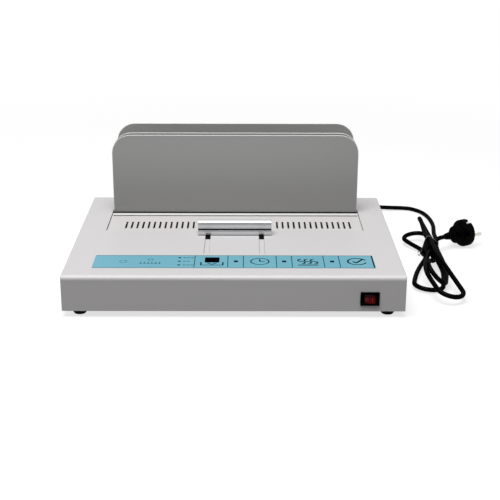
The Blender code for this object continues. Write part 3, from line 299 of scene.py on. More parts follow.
@dataclass(frozen=True)
class DrawnMetal(Finish):
    """Metal with fine lines along one axis, as rolling, drawing or brushing leaves them."""

    stretch: Point = (0.012, 1.0, 1.0)

    def grain(self, graph: Graph) -> Signal:
        """Lines that run along the axis with the small stretch."""
        return graph.noise(self.grain_scale, 3.0, graph.place(self.stretch))


@dataclass(frozen=True)
class PaintedReflectionMetal(DrawnMetal):
    """Drawn metal with painted reflections: lighter and darker bands along one axis."""

    across: str = "Z"
    low: float = 0.0
    reach: float = 1.0
    bands: tuple[Pair, ...] = ()

    def painted(self, graph: Graph, grain: Signal) -> Signal:
        """One tone after the other from the low end of the axis to the high one."""
        stops = [(place, self.shaded(tone)) for place, tone in self.bands]
        share = (graph.axis(self.across) - self.low) / self.reach
        return graph.node("ValToRGB", {"stops": stops}, {0: share})


@dataclass(frozen=True)
class FootShadedCoat(Finish):
    """Powder coat with painted shade that darkens it towards the foot of the plate."""

    foot: float = 0.050
    head: float = 0.150
    foot_shade: float = 0.66

    def painted(self, graph: Graph, grain: Signal) -> Signal:
        """Painted shade below and full colour above, with a slow wander over it."""
        slow = graph.noise(self.wander_scale, 1.0) * (2 * self.wander) - self.wander
        share = graph.axis("Z").ramped(self.foot, self.head) + slow
        return graph.mixed(share, self.shaded(self.foot_shade), self.colour)


@dataclass(frozen=True)
class SpangledZinc(Finish):
    """Zinc-coated sheet with its crystals."""

    crystal_scale: float = 160.0

    def painted(self, graph: Graph, grain: Signal) -> Signal:
        """Crystals of slightly different brightness."""
        crystals = graph.node("TexVoronoi", None, {"Vector": graph.place(), "Scale": self.crystal_scale}, 1)
        return self.wandered(graph, graph.node("SeparateColor", None, {0: crystals}, out="Red"))


@dataclass(frozen=True)
class SpeckledBoard(Finish):
    """Pressed fibre, mica or plaster board with darker specks."""

    speck_scale: float = 420.0
    speck_edge: Pair = (0.52, 0.62)
    speck_tone: float = 0.78

    def painted(self, graph: Graph, grain: Signal) -> Signal:
        """Specks strewn over a colour that wanders."""
        specks = graph.noise(self.speck_scale, 4.0).ramped(*self.speck_edge)
        base = self.wandered(graph, graph.noise(self.wander_scale))
        return graph.mixed(specks, base, self.shaded(self.speck_tone))


@dataclass(frozen=True)
class PrintedCircuit(Finish):
    """Solder mask with the tracks that show through it."""

    track_scale: float = 130.0
    track_width: float = 0.06
    track_tone: float = 1.9

    def painted(self, graph: Graph, grain: Signal) -> Signal:
        """Tracks in a staggered net under the mask."""
        sockets = {"Vector": graph.place(), "Scale": self.track_scale, "Mortar Size": self.track_width}
        sockets |= {"Color1": (0, 0, 0), "Color2": (0, 0, 0), "Mortar": (1, 1, 1)}
        tracks = graph.node("TexBrick", None, sockets, out="Fac")
        return graph.mixed(tracks, self.colour, self.shaded(self.track_tone))


@dataclass(frozen=True)
class StackedIron(Finish):
    """Varnished iron sheets, stacked along the depth of the machine."""

    sheet: float = 0.0005

    def grain(self, graph: Graph) -> Signal:
        """One ridge for each sheet."""
        sockets = {"Vector": graph.place(), "Scale": math.pi / (10 * self.sheet)}
        return graph.node("TexWave", {"bands_direction": "Y"}, sockets, out="Fac")


@dataclass(frozen=True)
class TintedPlastic(Finish):
    """Clear coloured plastic that lets some light into it."""

    clearness: float = 0.25
    refraction: float = 1.49

    def fixed(self, shader: Mapping[str, bpy.types.NodeSocket]) -> None:
        """Some of the light goes through."""
        shader["Transmission Weight"].default_value = self.clearness
        shader["IOR"].default_value = self.refraction


@dataclass(frozen=True)
class ShadedLens(TintedPlastic):
    """A coloured lens that its bezel shades along the left and the upper edge."""

    left: Pair = (0.0, 1.0)
    upper: Pair = (0.0, 1.0)
    shade: float = 0.10

    def painted(self, graph: Graph, grain: Signal) -> Signal:
        """Full in the middle and dark towards the two shaded edges."""
        place = graph.place()
        across, down = graph.axis("X", place), graph.axis("Z", place)
        share = across.ramped(*self.left) * (1 - down.ramped(*self.upper))
        return graph.mixed(share, self.shaded(self.shade), self.colour)


POWDER_COAT = Finish(
    "white_powder_coat", "powder_coat", (0.685, 0.670, 0.676), 0.50,
    wander=0.012, grain_scale=620.0, grain_depth=0.000025, specular=0.08, coat=0.05, coat_roughness=0.28,
)
# A lighter copy of the coat for the slide plate: painted light on the middle of the deck.
SLIDE_COAT = replace(POWDER_COAT, name="slide_coat_painted_light", colour=(0.715, 0.696, 0.690))
# A paler, glossier copy of the coat for the front bend: a painted highlight.
BEND_HIGHLIGHT = replace(
    POWDER_COAT, name="painted_highlight_on_bend", colour=(0.79, 0.775, 0.77), roughness=0.44,
    wander=0.010, grain_depth=0.00002, specular=0.3, coat=0.08,
)
# A paler coat: the foot angle's own coat, made lighter as painted light, and the painted highlight on the
# rims and edges of the plates.
PALE_COAT = Finish(
    "pale_coat_and_painted_highlight", "powder_coat", (0.84, 0.84, 0.82), 0.42,
    wander=0.010, grain_scale=620.0, grain_depth=0.00002,
)
# The plates' coat is a darker copy of the cover's coat, painted shade on the upright plates, with more
# painted shade towards the foot.
PLATE_COAT = FootShadedCoat(
    "plate_coat_painted_shade", "plate_coat", (0.425, 0.424, 0.418), 0.50,
    wander=0.012, wander_scale=8.0, grain_scale=620.0, grain_depth=0.000025,
)
SLIT_DARK = Finish("shaded_slit", "powder_coat", (0.010, 0.010, 0.010), 0.7, wander=0.05, specular=0.0)
# Near-black painted shade on the cover's inner faces and the walls of its openings.
OPENING_SHADE = Finish("painted_shade_in_openings", "powder_coat", (0.060, 0.059, 0.058), 0.6, wander=0.06, specular=0.1)
# Mid grey painted shade on the front edge of the foot angle.
FLANGE_EDGE_SHADE = replace(OPENING_SHADE, name="painted_shade_on_flange_edge", colour=(0.26, 0.255, 0.25))
ZINC = SpangledZinc(
    "zinc_coated_sheet", "zinc_sheet", (0.55, 0.56, 0.57), 0.36, metallic=1.0,
    wander=0.08, grain_scale=500.0, grain_depth=0.000008,
)
# Near-black painted shade for the inner faces of the pan and the parts seen through the vents.
INSIDE_SHADE = Finish("painted_shade_inside", "zinc_sheet", (0.030, 0.030, 0.031), 0.8, wander=0.05, specular=0.05)
STEEL = DrawnMetal(
    "bright_plated_steel", "bright_steel", (0.60, 0.60, 0.60), 0.30, metallic=1.0,
    wander=0.03, grain_scale=1500.0, grain_depth=0.000004, stretch=(1.0, 0.05, 0.05),
)
# The bar carries painted reflections in bands over its height.
ALUMINIUM = PaintedReflectionMetal(
    "satin_aluminium", "brushed_aluminium", (0.56, 0.565, 0.575), 0.27, metallic=1.0,
    wander=0.02, grain_scale=2600.0, grain_depth=0.0000015, grain_gloss=0.08, low=0.0513, reach=0.0180,
    bands=(
        (0.0, 0.50), (0.07, 0.95), (0.22, 1.18), (0.29, 0.70), (0.52, 0.86), (0.60, 1.08), (0.67, 1.30),
        (0.74, 1.06), (0.82, 0.74), (0.90, 0.80), (0.97, 1.30),
    ),
)
# Near-white painted highlight on the bar's top, fading towards the rear.
HANDLE_TOP_HIGHLIGHT = PaintedReflectionMetal(
    "painted_highlight_on_handle_top", "brushed_aluminium", (0.95, 0.955, 0.96), 0.45, metallic=0.1,
    grain_scale=2600.0, grain_depth=0.0000015, across="Y", low=-0.0097, reach=0.0140,
    bands=((0.0, 1.0), (0.30, 1.0), (0.55, 0.80), (0.85, 0.55)),
)
# Near-black painted shade in the groove along the bar's front.
GROOVE_SHADE = Finish(
    "painted_shade_in_groove", "brushed_aluminium", (0.015, 0.015, 0.017), 0.6, wander=0.05, specular=0.3
)
NICKEL = Finish(
    "nickel_plate", "nickel", (0.66, 0.64, 0.60), 0.22, metallic=1.0,
    wander=0.02, grain_scale=1800.0, grain_depth=0.000002,
)
RUBBER = Finish(
    "moulded_rubber", "rubber", (0.006, 0.006, 0.006), 0.78,
    wander=0.15, wander_scale=180.0, grain_scale=1600.0, grain_depth=0.00003, specular=0.06,
)
BLACK_PLASTIC = Finish(
    "black_moulded_plastic", "black_plastic", (0.003, 0.003, 0.0033), 0.38, specular=0.0, coat=0.08,
    coat_roughness=0.3, wander=0.10, wander_scale=60.0, grain_scale=1700.0, grain_depth=0.000016,
)
SWITCH_PLASTIC = Finish(
    "polished_switch_plastic", "black_plastic", (0.0006, 0.0004, 0.0005), 0.20, specular=0.0, coat=0.015,
    coat_roughness=0.2, wander=0.08, grain_scale=1200.0, grain_depth=0.000004,
)
ROCKER_RED = ShadedLens(
    "dark_red_lens", "rocker_red", (0.16, 0.001, 0.002), 0.16, coat=0.10, coat_roughness=0.15,
    wander=0.12, wander_scale=120.0, grain_scale=900.0, grain_depth=0.000003, specular=0.0,
    clearness=0.0, left=(0.1512, 0.1566), upper=(0.0236, 0.0286),
)
MARK_PALE = Finish("pale_mark", "rocker_red", (0.33, 0.060, 0.065), 0.40, wander=0.03, specular=0.1)
NYLON = Finish("natural_nylon", "nylon", (0.75, 0.74, 0.70), 0.50, wander=0.03, wander_scale=90.0)
HOT_PLATE = replace(INSIDE_SHADE, name="dark_hard_coat", slot="brushed_aluminium", roughness=0.7)
MICA = SpeckledBoard("pressed_mica", "mica", (0.52, 0.40, 0.24), 0.50, wander=0.08, grain_depth=0.00002)
INSULATION = SpeckledBoard(
    "insulation_board", "insulation", (0.80, 0.78, 0.72), 0.90, wander=0.04, grain_depth=0.00006
)
CIRCUIT = PrintedCircuit("green_circuit_board", "circuit_green", (0.035, 0.20, 0.085), 0.36)
LAMP = TintedPlastic("lamp_lens", "lamp", (0.40, 0.05, 0.045), 0.15, wander=0.05, clearness=0.5)
IRON = StackedIron(
    "varnished_laminations", "laminations", (0.25, 0.25, 0.27), 0.45, metallic=0.6,
    wander=0.08, grain_depth=0.0001,
)
PANEL_BLUE = Finish(
    "blue_overlay", "panel_blue", (0.170, 0.448, 0.556), 0.42, specular=0.08,
    wander=0.015, wander_scale=20.0, grain_scale=1500.0, grain_depth=0.000006,
)
INK_TEAL = Finish("dark_teal_ink", "panel_blue", (0.006, 0.038, 0.054), 0.45, wander=0.05, specular=0.0)
INK_FAINT = replace(INK_TEAL, name="faint_teal_ink", colour=(0.018, 0.085, 0.115))
INK_BLACK = replace(INK_TEAL, name="black_ink", colour=(0.0005, 0.0015, 0.003), wander=0.10)
WINDOW = Finish("lamp_window", "panel_blue", (0.002, 0.018, 0.024), 0.18, wander=0.05, specular=0.02)
CORD_BLACK = Finish(
    "black_cord_sheath", "cord_black", (0.0008, 0.0008, 0.0008), 0.40, coat=0.055, coat_roughness=0.06,
    wander=0.15, wander_scale=50.0, grain_scale=1300.0, grain_depth=0.000004, specular=0.0,
)
TIE_BLACK = Finish(
    "black_tie_plastic", "tie_black", (0.010, 0.010, 0.010), 0.42,
    wander=0.10, wander_scale=200.0, grain_scale=1500.0, grain_depth=0.00001, specular=0.15,
)


# Meshes


def linked(name: str, data: bpy.types.ID) -> bpy.types.Object:
    """A new object in the scene that holds this data."""
    made = bpy.data.objects.new(name, data)
    bpy.context.scene.collection.objects.link(made)
    return made


def towards(way: Sequence[float]) -> Matrix:
    """The turn that points what stands upright along a direction."""
    return UP.rotation_difference(Vector(way)).to_matrix().to_4x4()


def boxed(node: str) -> tuple[Vector, Vector, Vector]:
    """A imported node's lowest corner, its highest corner and its middle."""
    low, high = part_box(node)
    return low, high, (low + high) / 2


class Form:
    """A mesh in the making, shaped by operators, that ends as one piece of the object."""

    def __init__(self) -> None:
        """Starts empty."""
        self.mesh = bmesh.new()

    @classmethod
    def carried(cls, node: str) -> "Form":
        """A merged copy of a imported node's mesh; the node's own object stays as it is."""
        form = cls()
        form.mesh.from_mesh(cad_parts[node].data)
        bmesh.ops.remove_doubles(form.mesh, verts=form.mesh.verts[:], dist=WELD)
        bmesh.ops.dissolve_limit(
            form.mesh, angle_limit=FLAT, verts=form.mesh.verts[:], edges=form.mesh.edges[:]
        )
        return form.faced_out()

    @classmethod
    def block(cls, low: Point, high: Point) -> "Form":
        """A box between two corners."""
        form = cls()
        low, high = Vector(low), Vector(high)
        matrix = Matrix.LocRotScale((low + high) / 2, None, high - low)
        bmesh.ops.create_cube(form.mesh, size=1.0, matrix=matrix)
        return form

    @classmethod
    def outlined(
        cls,
        points: Sequence[Pair],
        plane: Plane,
        low: float,
        high: float,
        fillets: Mapping[int, float] | None = None,
        segments: int = 6,
    ) -> "Form":
        """An outline with some corners rounded, pushed along its plane's normal.

        Args:
            points: The outline's corners.
            plane: The plane that it is drawn in.
            low: Where it starts along the plane's normal.
            high: Where it ends.
            fillets: The radius at a corner, by the corner's number.
            segments: How many steps a rounded corner has.

        Returns:
            The closed form.
        """
        form = cls()
        first, second, normal = plane.value
        corners = [form.mesh.verts.new(first * a + second * b + normal * low) for a, b in points]
        form.mesh.faces.new(corners)
        for radius in sorted(set((fillets or {}).values())):
            chosen = [corners[number] for number, size in fillets.items() if size == radius]
            bmesh.ops.bevel(
                form.mesh, geom=chosen, offset=radius, offset_type="OFFSET", segments=segments,
                profile=0.5, affect="VERTICES", material=-1,
            )
        return form.pushed(normal * (high - low))

    @classmethod
    def turned(
        cls, profile: Sequence[Pair], centre: Point, axis: Point, steps: int = 48, ring: bool = False
    ) -> "Form":
        """A profile of (radius, along) pairs turned about an axis.

        Args:
            profile: The profile's points, from the axis and back to it unless it is a ring.
            centre: Where along is 0.
            axis: The direction in which along grows.
            steps: How many steps a full turn has.
            ring: Whether the profile closes on itself instead of on the axis.

        Returns:
            The closed form.
        """
        form = cls.spun([(radius, 0, along) for radius, along in profile], (0, 0, 1), math.tau, steps, ring)
        bmesh.ops.remove_doubles(form.mesh, verts=form.mesh.verts[:], dist=WELD)
        return form.faced_out().moved(Matrix.Translation(centre) @ towards(axis))

    @classmethod
    def spun(
        cls, line: Sequence[Point], axis: Point, sweep: float, steps: int, ring: bool = False
    ) -> "Form":
        """The surface that a line of points leaves as it turns about an axis through the origin.

        Args:
            line: The points.
            axis: The axis.
            sweep: How far they turn, in radians.
            steps: How many steps the turn has.
            ring: Whether the line closes on itself.

        Returns:
            The surface, merged where it comes round to its start.
        """
        form = cls()
        points = [form.mesh.verts.new(place) for place in line]
        pairs = list(zip(points, points[1:])) + ([(points[-1], points[0])] if ring else [])
        edges = [form.mesh.edges.new(pair) for pair in pairs]
        bmesh.ops.spin(
            form.mesh, geom=points + edges, cent=(0, 0, 0), axis=axis, dvec=(0, 0, 0), angle=sweep,
            steps=steps, use_merge=sweep >= math.tau, use_duplicate=False,
        )
        return form

    @classmethod
    def swept(cls, line: Sequence[Point], radius: float, sides: int = 12) -> "Form":
        """A round wire along a line, with closed ends."""
        form = cls()
        form.take(linked("sweep", wire_curve("sweep", line, radius, sides)))
        bmesh.ops.remove_doubles(form.mesh, verts=form.mesh.verts[:], dist=WELD)
        return form.faced_out()

    def take(self, holder: bpy.types.Object) -> None:
        """Takes a passing object's evaluated mesh and removes that object."""
        shown = holder.evaluated_get(bpy.context.evaluated_depsgraph_get())
        data = bpy.data.meshes.new_from_object(shown)
        self.mesh.free()
        self.mesh = bmesh.new()
        self.mesh.from_mesh(data)
        bpy.data.meshes.remove(data)
        bpy.data.objects.remove(holder)

    def holder(self, name: str) -> bpy.types.Object:
        """A passing object that holds this mesh."""
        data = bpy.data.meshes.new(name)
        self.mesh.to_mesh(data)
        return linked(name, data)

    def faced_out(self) -> "Form":
        """Turns every face outwards."""
        bmesh.ops.recalc_face_normals(self.mesh, faces=self.mesh.faces[:])
        return self

    def moved(self, matrix: Matrix) -> "Form":
        """Moves, turns or scales the whole form."""
        bmesh.ops.transform(self.mesh, matrix=matrix, verts=self.mesh.verts[:])
        return self

    def pushed(self, way: Vector) -> "Form":
        """Gives flat faces a thickness."""
        grown = bmesh.ops.extrude_face_region(self.mesh, geom=self.mesh.faces[:])["geom"]
        moving = [part for part in grown if isinstance(part, bmesh.types.BMVert)]
        bmesh.ops.translate(self.mesh, verts=moving, vec=way)
        return self.faced_out()

    def softened(
        self,
        width: float,
        segments: int = 2,
        least: float = 50.0,
        chosen: Callable[[bmesh.types.BMEdge], bool] | None = None,
    ) -> "Form":
        """Rounds the edges between faces that meet at more than an angle.

        Args:
            width: How far the rounding reaches on each face.
            segments: How many steps it has.
            least: The least angle, in degrees.
            chosen: A test that an edge has to pass as well.

        Returns:
            This form.
        """
        edges = [
            edge
            for edge in self.mesh.edges
            if len(edge.link_faces) == 2
            and edge.calc_face_angle(0.0) > math.radians(least)
            and (chosen is None or chosen(edge))
        ]
        bmesh.ops.bevel(
            self.mesh, geom=edges, offset=width, offset_type="OFFSET", segments=segments,
            profile=0.5, affect="EDGES", material=-1,
        )
        return self

    def joined(self, others: Iterable["Form"]) -> "Form":
        """Takes other forms into this mesh as they are."""
        for other in others:
            data = bpy.data.meshes.new("joining")
            other.mesh.to_mesh(data)
            self.mesh.from_mesh(data)
            bpy.data.meshes.remove(data)
            other.mesh.free()
        return self

    def carved(self, tool: "Form") -> "Form":
        """Cuts another form out of this one."""
        target, cutter = self.holder("carving"), tool.holder("carving_tool")
        modifier = target.modifiers.new("carve", "BOOLEAN")
        modifier.operation, modifier.object, modifier.solver = "DIFFERENCE", cutter, "EXACT"
        self.take(target)
        bpy.data.objects.remove(cutter)
        tool.mesh.free()
        return self

    def rimmed(self, width: float, above: float) -> "Form":
        """Rounds the rim of an upright sheet above a height, and gives it the second finish, a painted
        highlight along the rim.
        """
        self.softened(width, 4, chosen=lambda edge: min(vert.co.z for vert in edge.verts) > above)
        rim = [
            face
            for face in self.mesh.faces
            if face.calc_center_median().z > above and abs(face.normal.y) < SQUARELY
        ]
        return self.inked(rim, 1)

    def inked(self, faces: Iterable[bmesh.types.BMFace], number: int) -> "Form":
        """Gives some faces the finish with this number."""
        for face in faces:
            face.material_index = number
        return self

    def piece(
        self,
        name: str,
        finish: Finish,
        replaces: Sequence[str] = (),
        smooth: float = TURNED,
        more: Sequence[Finish] = (),
        body: Body = Body.MACHINE,
    ) -> bpy.types.Object:
        """Ends the form as a piece at the origin that rides on a body.

        Args:
            name: The piece's name.
            finish: Its finish.
            replaces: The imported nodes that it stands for.
            smooth: The angle in degrees up to which faces shade as one surface.
            more: Further finishes, for faces that were given their numbers.
            body: The body that it rides on.

        Returns:
            The piece.
        """
        for face in self.mesh.faces:
            face.smooth = True
        for edge in self.mesh.edges:
            edge.smooth = edge.calc_face_angle(math.pi) < math.radians(smooth)
        made = self.holder(name)
        self.mesh.free()
        for look in (finish, *more):
            made.data.materials.append(look.material())
        shading = made.modifiers.new("even_shading", "WEIGHTED_NORMAL")
        shading.keep_sharp, shading.weight = True, 100
        return mounted(made, body, replaces)


def mounted(
    made: bpy.types.Object, body: Body, replaces: Sequence[str] = ()
) -> bpy.types.Object:
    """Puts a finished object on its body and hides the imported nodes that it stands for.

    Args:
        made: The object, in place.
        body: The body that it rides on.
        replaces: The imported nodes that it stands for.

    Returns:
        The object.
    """
    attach(made, body.value)
    if replaces:
        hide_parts(*replaces)
    log.info("%s rides on %s", made.name, body.value)
    return made


def wire_curve(name: str, line: Sequence[Point], radius: float, sides: int) -> bpy.types.Curve:
    """A round curve of one open spline through the points of a line."""
    curve = bpy.data.curves.new(name, "CURVE")
    curve.dimensions = "3D"
    curve.bevel_depth = radius
    curve.bevel_resolution = sides // 2 - 2
    curve.use_fill_caps = True
    curve.twist_mode = "MINIMUM"
    spline = curve.splines.new("POLY")
    spline.points.add(len(line) - 1)
    for point, place in zip(spline.points, line):
        point.co = (*place, 1.0)
    spline.use_smooth = True
    return curve


def evenly(points: Sequence[Point], spacing: float) -> np.ndarray:
    """Points at even distances along a line, with both of its ends."""
    points = np.asarray(points, float)
    along = np.concatenate([[0], np.cumsum(np.linalg.norm(np.diff(points, axis=0), axis=1))])
    at = np.linspace(0, along[-1], max(2, round(along[-1] / spacing)) + 1)
    return np.stack([np.interp(at, along, points[:, axis]) for axis in range(3)], axis=1)


def smooth_route(points: Sequence[Point], steps: int = 12) -> np.ndarray:
    """A smooth curve through the points of a route."""
    points = np.asarray(points, float)
    ends = np.vstack([2 * points[0] - points[1], points, 2 * points[-1] - points[-2]])
    line = []
    for before, start, end, after in zip(ends, ends[1:], ends[2:], ends[3:]):
        for share in np.arange(steps) / steps:
            line.append(
                (
                    2 * start
                    + (end - before) * share
                    + (2 * before - 5 * start + 4 * end - after) * share**2
                    + (3 * start - before - 3 * end + after) * share**3
                )
                / 2
            )
    return np.array([*line, points[-1]])


def leg(
    start: np.ndarray,
    start_way: np.ndarray,
    end: np.ndarray,
    end_way: np.ndarray,
    steps: int,
    start_pull: float = 1.0,
    end_pull: float = 1.0,
) -> list[np.ndarray]:
    """A smooth line that leaves one place and reaches another in given directions.

    Args:
        start: Where it leaves.
        start_way: The direction in which it leaves.
        end: Where it arrives.
        end_way: The direction in which it arrives.
        steps: How many points it has, without its end.
        start_pull: How firmly it keeps its first direction.
        end_pull: How firmly it takes its last one.

    Returns:
        Its points.
    """
    reach = np.linalg.norm(end - start)
    line = []
    for share in np.arange(steps) / steps:
        line.append(
            (2 * share**3 - 3 * share**2 + 1) * start
            + (share**3 - 2 * share**2 + share) * reach * start_pull * start_way
            + (3 * share**2 - 2 * share**3) * end
            + (share**3 - share**2) * reach * end_pull * end_way
        )
    return line


# The studio


@dataclass
class Studio:
    """The camera, the soft light, and the pale floor under the machine."""

    lens: float = 81.2
    camera_place: Point = (0.0126, -1.3728, 0.5089)
    pitch: float = 19.30
    yaw: float = 0.29
    roll: float = 0.19
    lamp_place: Point = (-0.24, -0.58, 2.25)
    lamp_aim: Point = (0.02, 0.0, 0.05)
    lamp_size: float = 1.6
    lamp_power: float = 49.4
    room_light: float = 0.19
    floor_size: float = 12.0
    floor_depth: float = 0.02
    floor_matt: float = 0.36
    floor_glow: float = 0.72
    floor_bounce: float = 0.20
    fade_start: float = 0.55
    fade_end: float = 1.30

    def camera(self) -> None:
        """The camera at the photograph's place and angle."""
        data = bpy.data.cameras.new("view_camera")
        data.lens = self.lens
        made = linked("view_camera", data)
        made.location = self.camera_place
        turn = Matrix.Rotation(math.radians(-self.yaw), 3, "Z")
        tilt = Matrix.Rotation(math.radians(90 - self.pitch), 3, "X")
        made.rotation_euler = (turn @ tilt @ Matrix.Rotation(math.radians(self.roll), 3, "Z")).to_euler()
        bpy.context.scene.camera = made

    def lamp(self) -> None:
        """A large soft lamp high up on the left."""
        data = bpy.data.lights.new("soft_lamp", "AREA")
        data.size, data.energy = self.lamp_size, self.lamp_power
        made = linked("soft_lamp", data)
        made.location = self.lamp_place
        way = Vector(self.lamp_aim) - Vector(self.lamp_place)
        made.rotation_euler = way.to_track_quat("-Z", "Y").to_euler()

    def seen(self, graph: Graph) -> Signal:
        """1 for rays from the camera, and for those that gloss or glass sends on."""
        path = graph.node("LightPath", out="Is Camera Ray")
        node = path.socket.node
        glossy, through = (
            Signal(graph, node.outputs[name]) for name in ("Is Glossy Ray", "Is Transmission Ray")
        )
        return path.most(glossy).most(through)

    def world(self) -> None:
        """A white background, with a plain level of light from all round."""
        world = bpy.data.worlds.new("studio_world")
        bpy.context.scene.world = world
        world.use_nodes = True
        graph = Graph(world.node_tree)
        seen = self.seen(graph)
        background = world.node_tree.nodes["Background"].inputs
        background["Color"].default_value = (1, 1, 1, 1)
        graph.feed(background["Strength"], self.room_light + seen * (1 - self.room_light))

    def floor(self) -> None:
        """A pale floor that keeps the machine's shadow and fades to white."""
        half = self.floor_size / 2
        form = Form.block((-half, -half, -self.floor_depth), (half, half, 0))
        made = form.holder("pale_floor")
        form.mesh.free()
        material = bpy.data.materials.new("pale_floor")
        material.use_nodes = True
        graph = Graph(material.node_tree)
        place = graph.place()
        across, along = graph.axis("X", place), graph.axis("Y", place)
        away = (across * across + along * along) ** 0.5
        far = away.ramped(self.fade_start, self.fade_end)
        white = (1, 1, 1)
        matt = graph.node("BsdfDiffuse", None, {"Color": (self.floor_matt,) * 3})
        glow = graph.node("Emission", None, {"Color": white, "Strength": self.floor_glow})
        near_look = graph.node("AddShader", None, {0: matt, 1: glow})
        far_look = graph.node("Emission", None, {"Color": white, "Strength": 1.0})
        look = graph.node("MixShader", None, {0: far, 1: near_look, 2: far_look})
        bounce = graph.node("BsdfDiffuse", None, {"Color": (self.floor_bounce,) * 3})
        final = graph.node("MixShader", None, {0: self.seen(graph), 1: bounce, 2: look})
        graph.feed(material.node_tree.nodes["Material Output"].inputs["Surface"], final)
        made.data.materials.append(material)
        made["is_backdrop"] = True


# The mains lead


LEG_STEPS, BEND_STEPS, PASS_STEPS, TAIL_STEPS = 30, 20, 12, 24


@dataclass(frozen=True)
class Fold:
    """A folded end of the hank: two smooth legs from the waist and a round fold between them.

    way is +1 to the rear or -1 to the front, and side +1 where the leg that goes out is on the
    right. angles are the fold's turn, roll and pitch in degrees. place is the fold's middle, across
    and away from the waist, and its height. pulls say how firmly each leg leaves and arrives.
    """

    way: int
    side: int
    angles: Point
    place: Point
    radius: float
    out_pulls: Pair
    back_pulls: Pair

    def points(
        self, waist: Pair, start: np.ndarray, end: np.ndarray, way_in: np.ndarray
    ) -> list[np.ndarray]:
        """The fold's line from one place in the waist to the next.

        Args:
            waist: The middle of the waist, X and Y.
            start: Where the line leaves the waist.
            end: Where it comes back.
            way_in: The direction in which it comes back.

        Returns:
            Its points, without the last.
        """
        turn, roll, pitch = (math.radians(angle) for angle in self.angles)
        level = math.cos(pitch)
        ahead = np.array([-math.sin(turn) * level, self.way * math.cos(turn) * level, -math.sin(pitch)])
        flat = np.array([math.cos(turn), self.way * math.sin(turn), 0]) * self.side
        out = flat * math.cos(roll) - np.array([0, 0, math.sin(roll)])
        across, away, height = self.place
        centre = np.array([waist[0] + across, waist[1] + self.way * away, height])
        first, last = centre + out * self.radius, centre - out * self.radius
        line = leg(start, np.array([0, self.way, 0]), first, ahead, LEG_STEPS, *self.out_pulls)
        for angle in np.arange(BEND_STEPS) * math.pi / BEND_STEPS:
            line.append(centre + self.radius * (math.cos(angle) * out + math.sin(angle) * ahead))
        return line + leg(last, -ahead, end, way_in, LEG_STEPS, *self.back_pulls)


@dataclass(frozen=True)
class Ribs:
    """A row of ribs round a shaft, as part of a turned profile."""

    count: int
    start: float
    pitch: float
    radius: float
    growth: float
    depth: float
    groove: float
    end: float
    chamfer: float = 0.0003

    def profile(self) -> list[Pair]:
        """A groove and then a rib with a chamfered near edge, as often as there are ribs."""
        points = []
        for number in range(self.count):
            at, radius = self.start + number * self.pitch, self.radius + number * self.growth
            low = radius - self.depth
            points += [(low, at), (low, at + self.groove)]
            points += [(radius, at + self.groove + self.chamfer), (radius, at + self.end)]
        return points


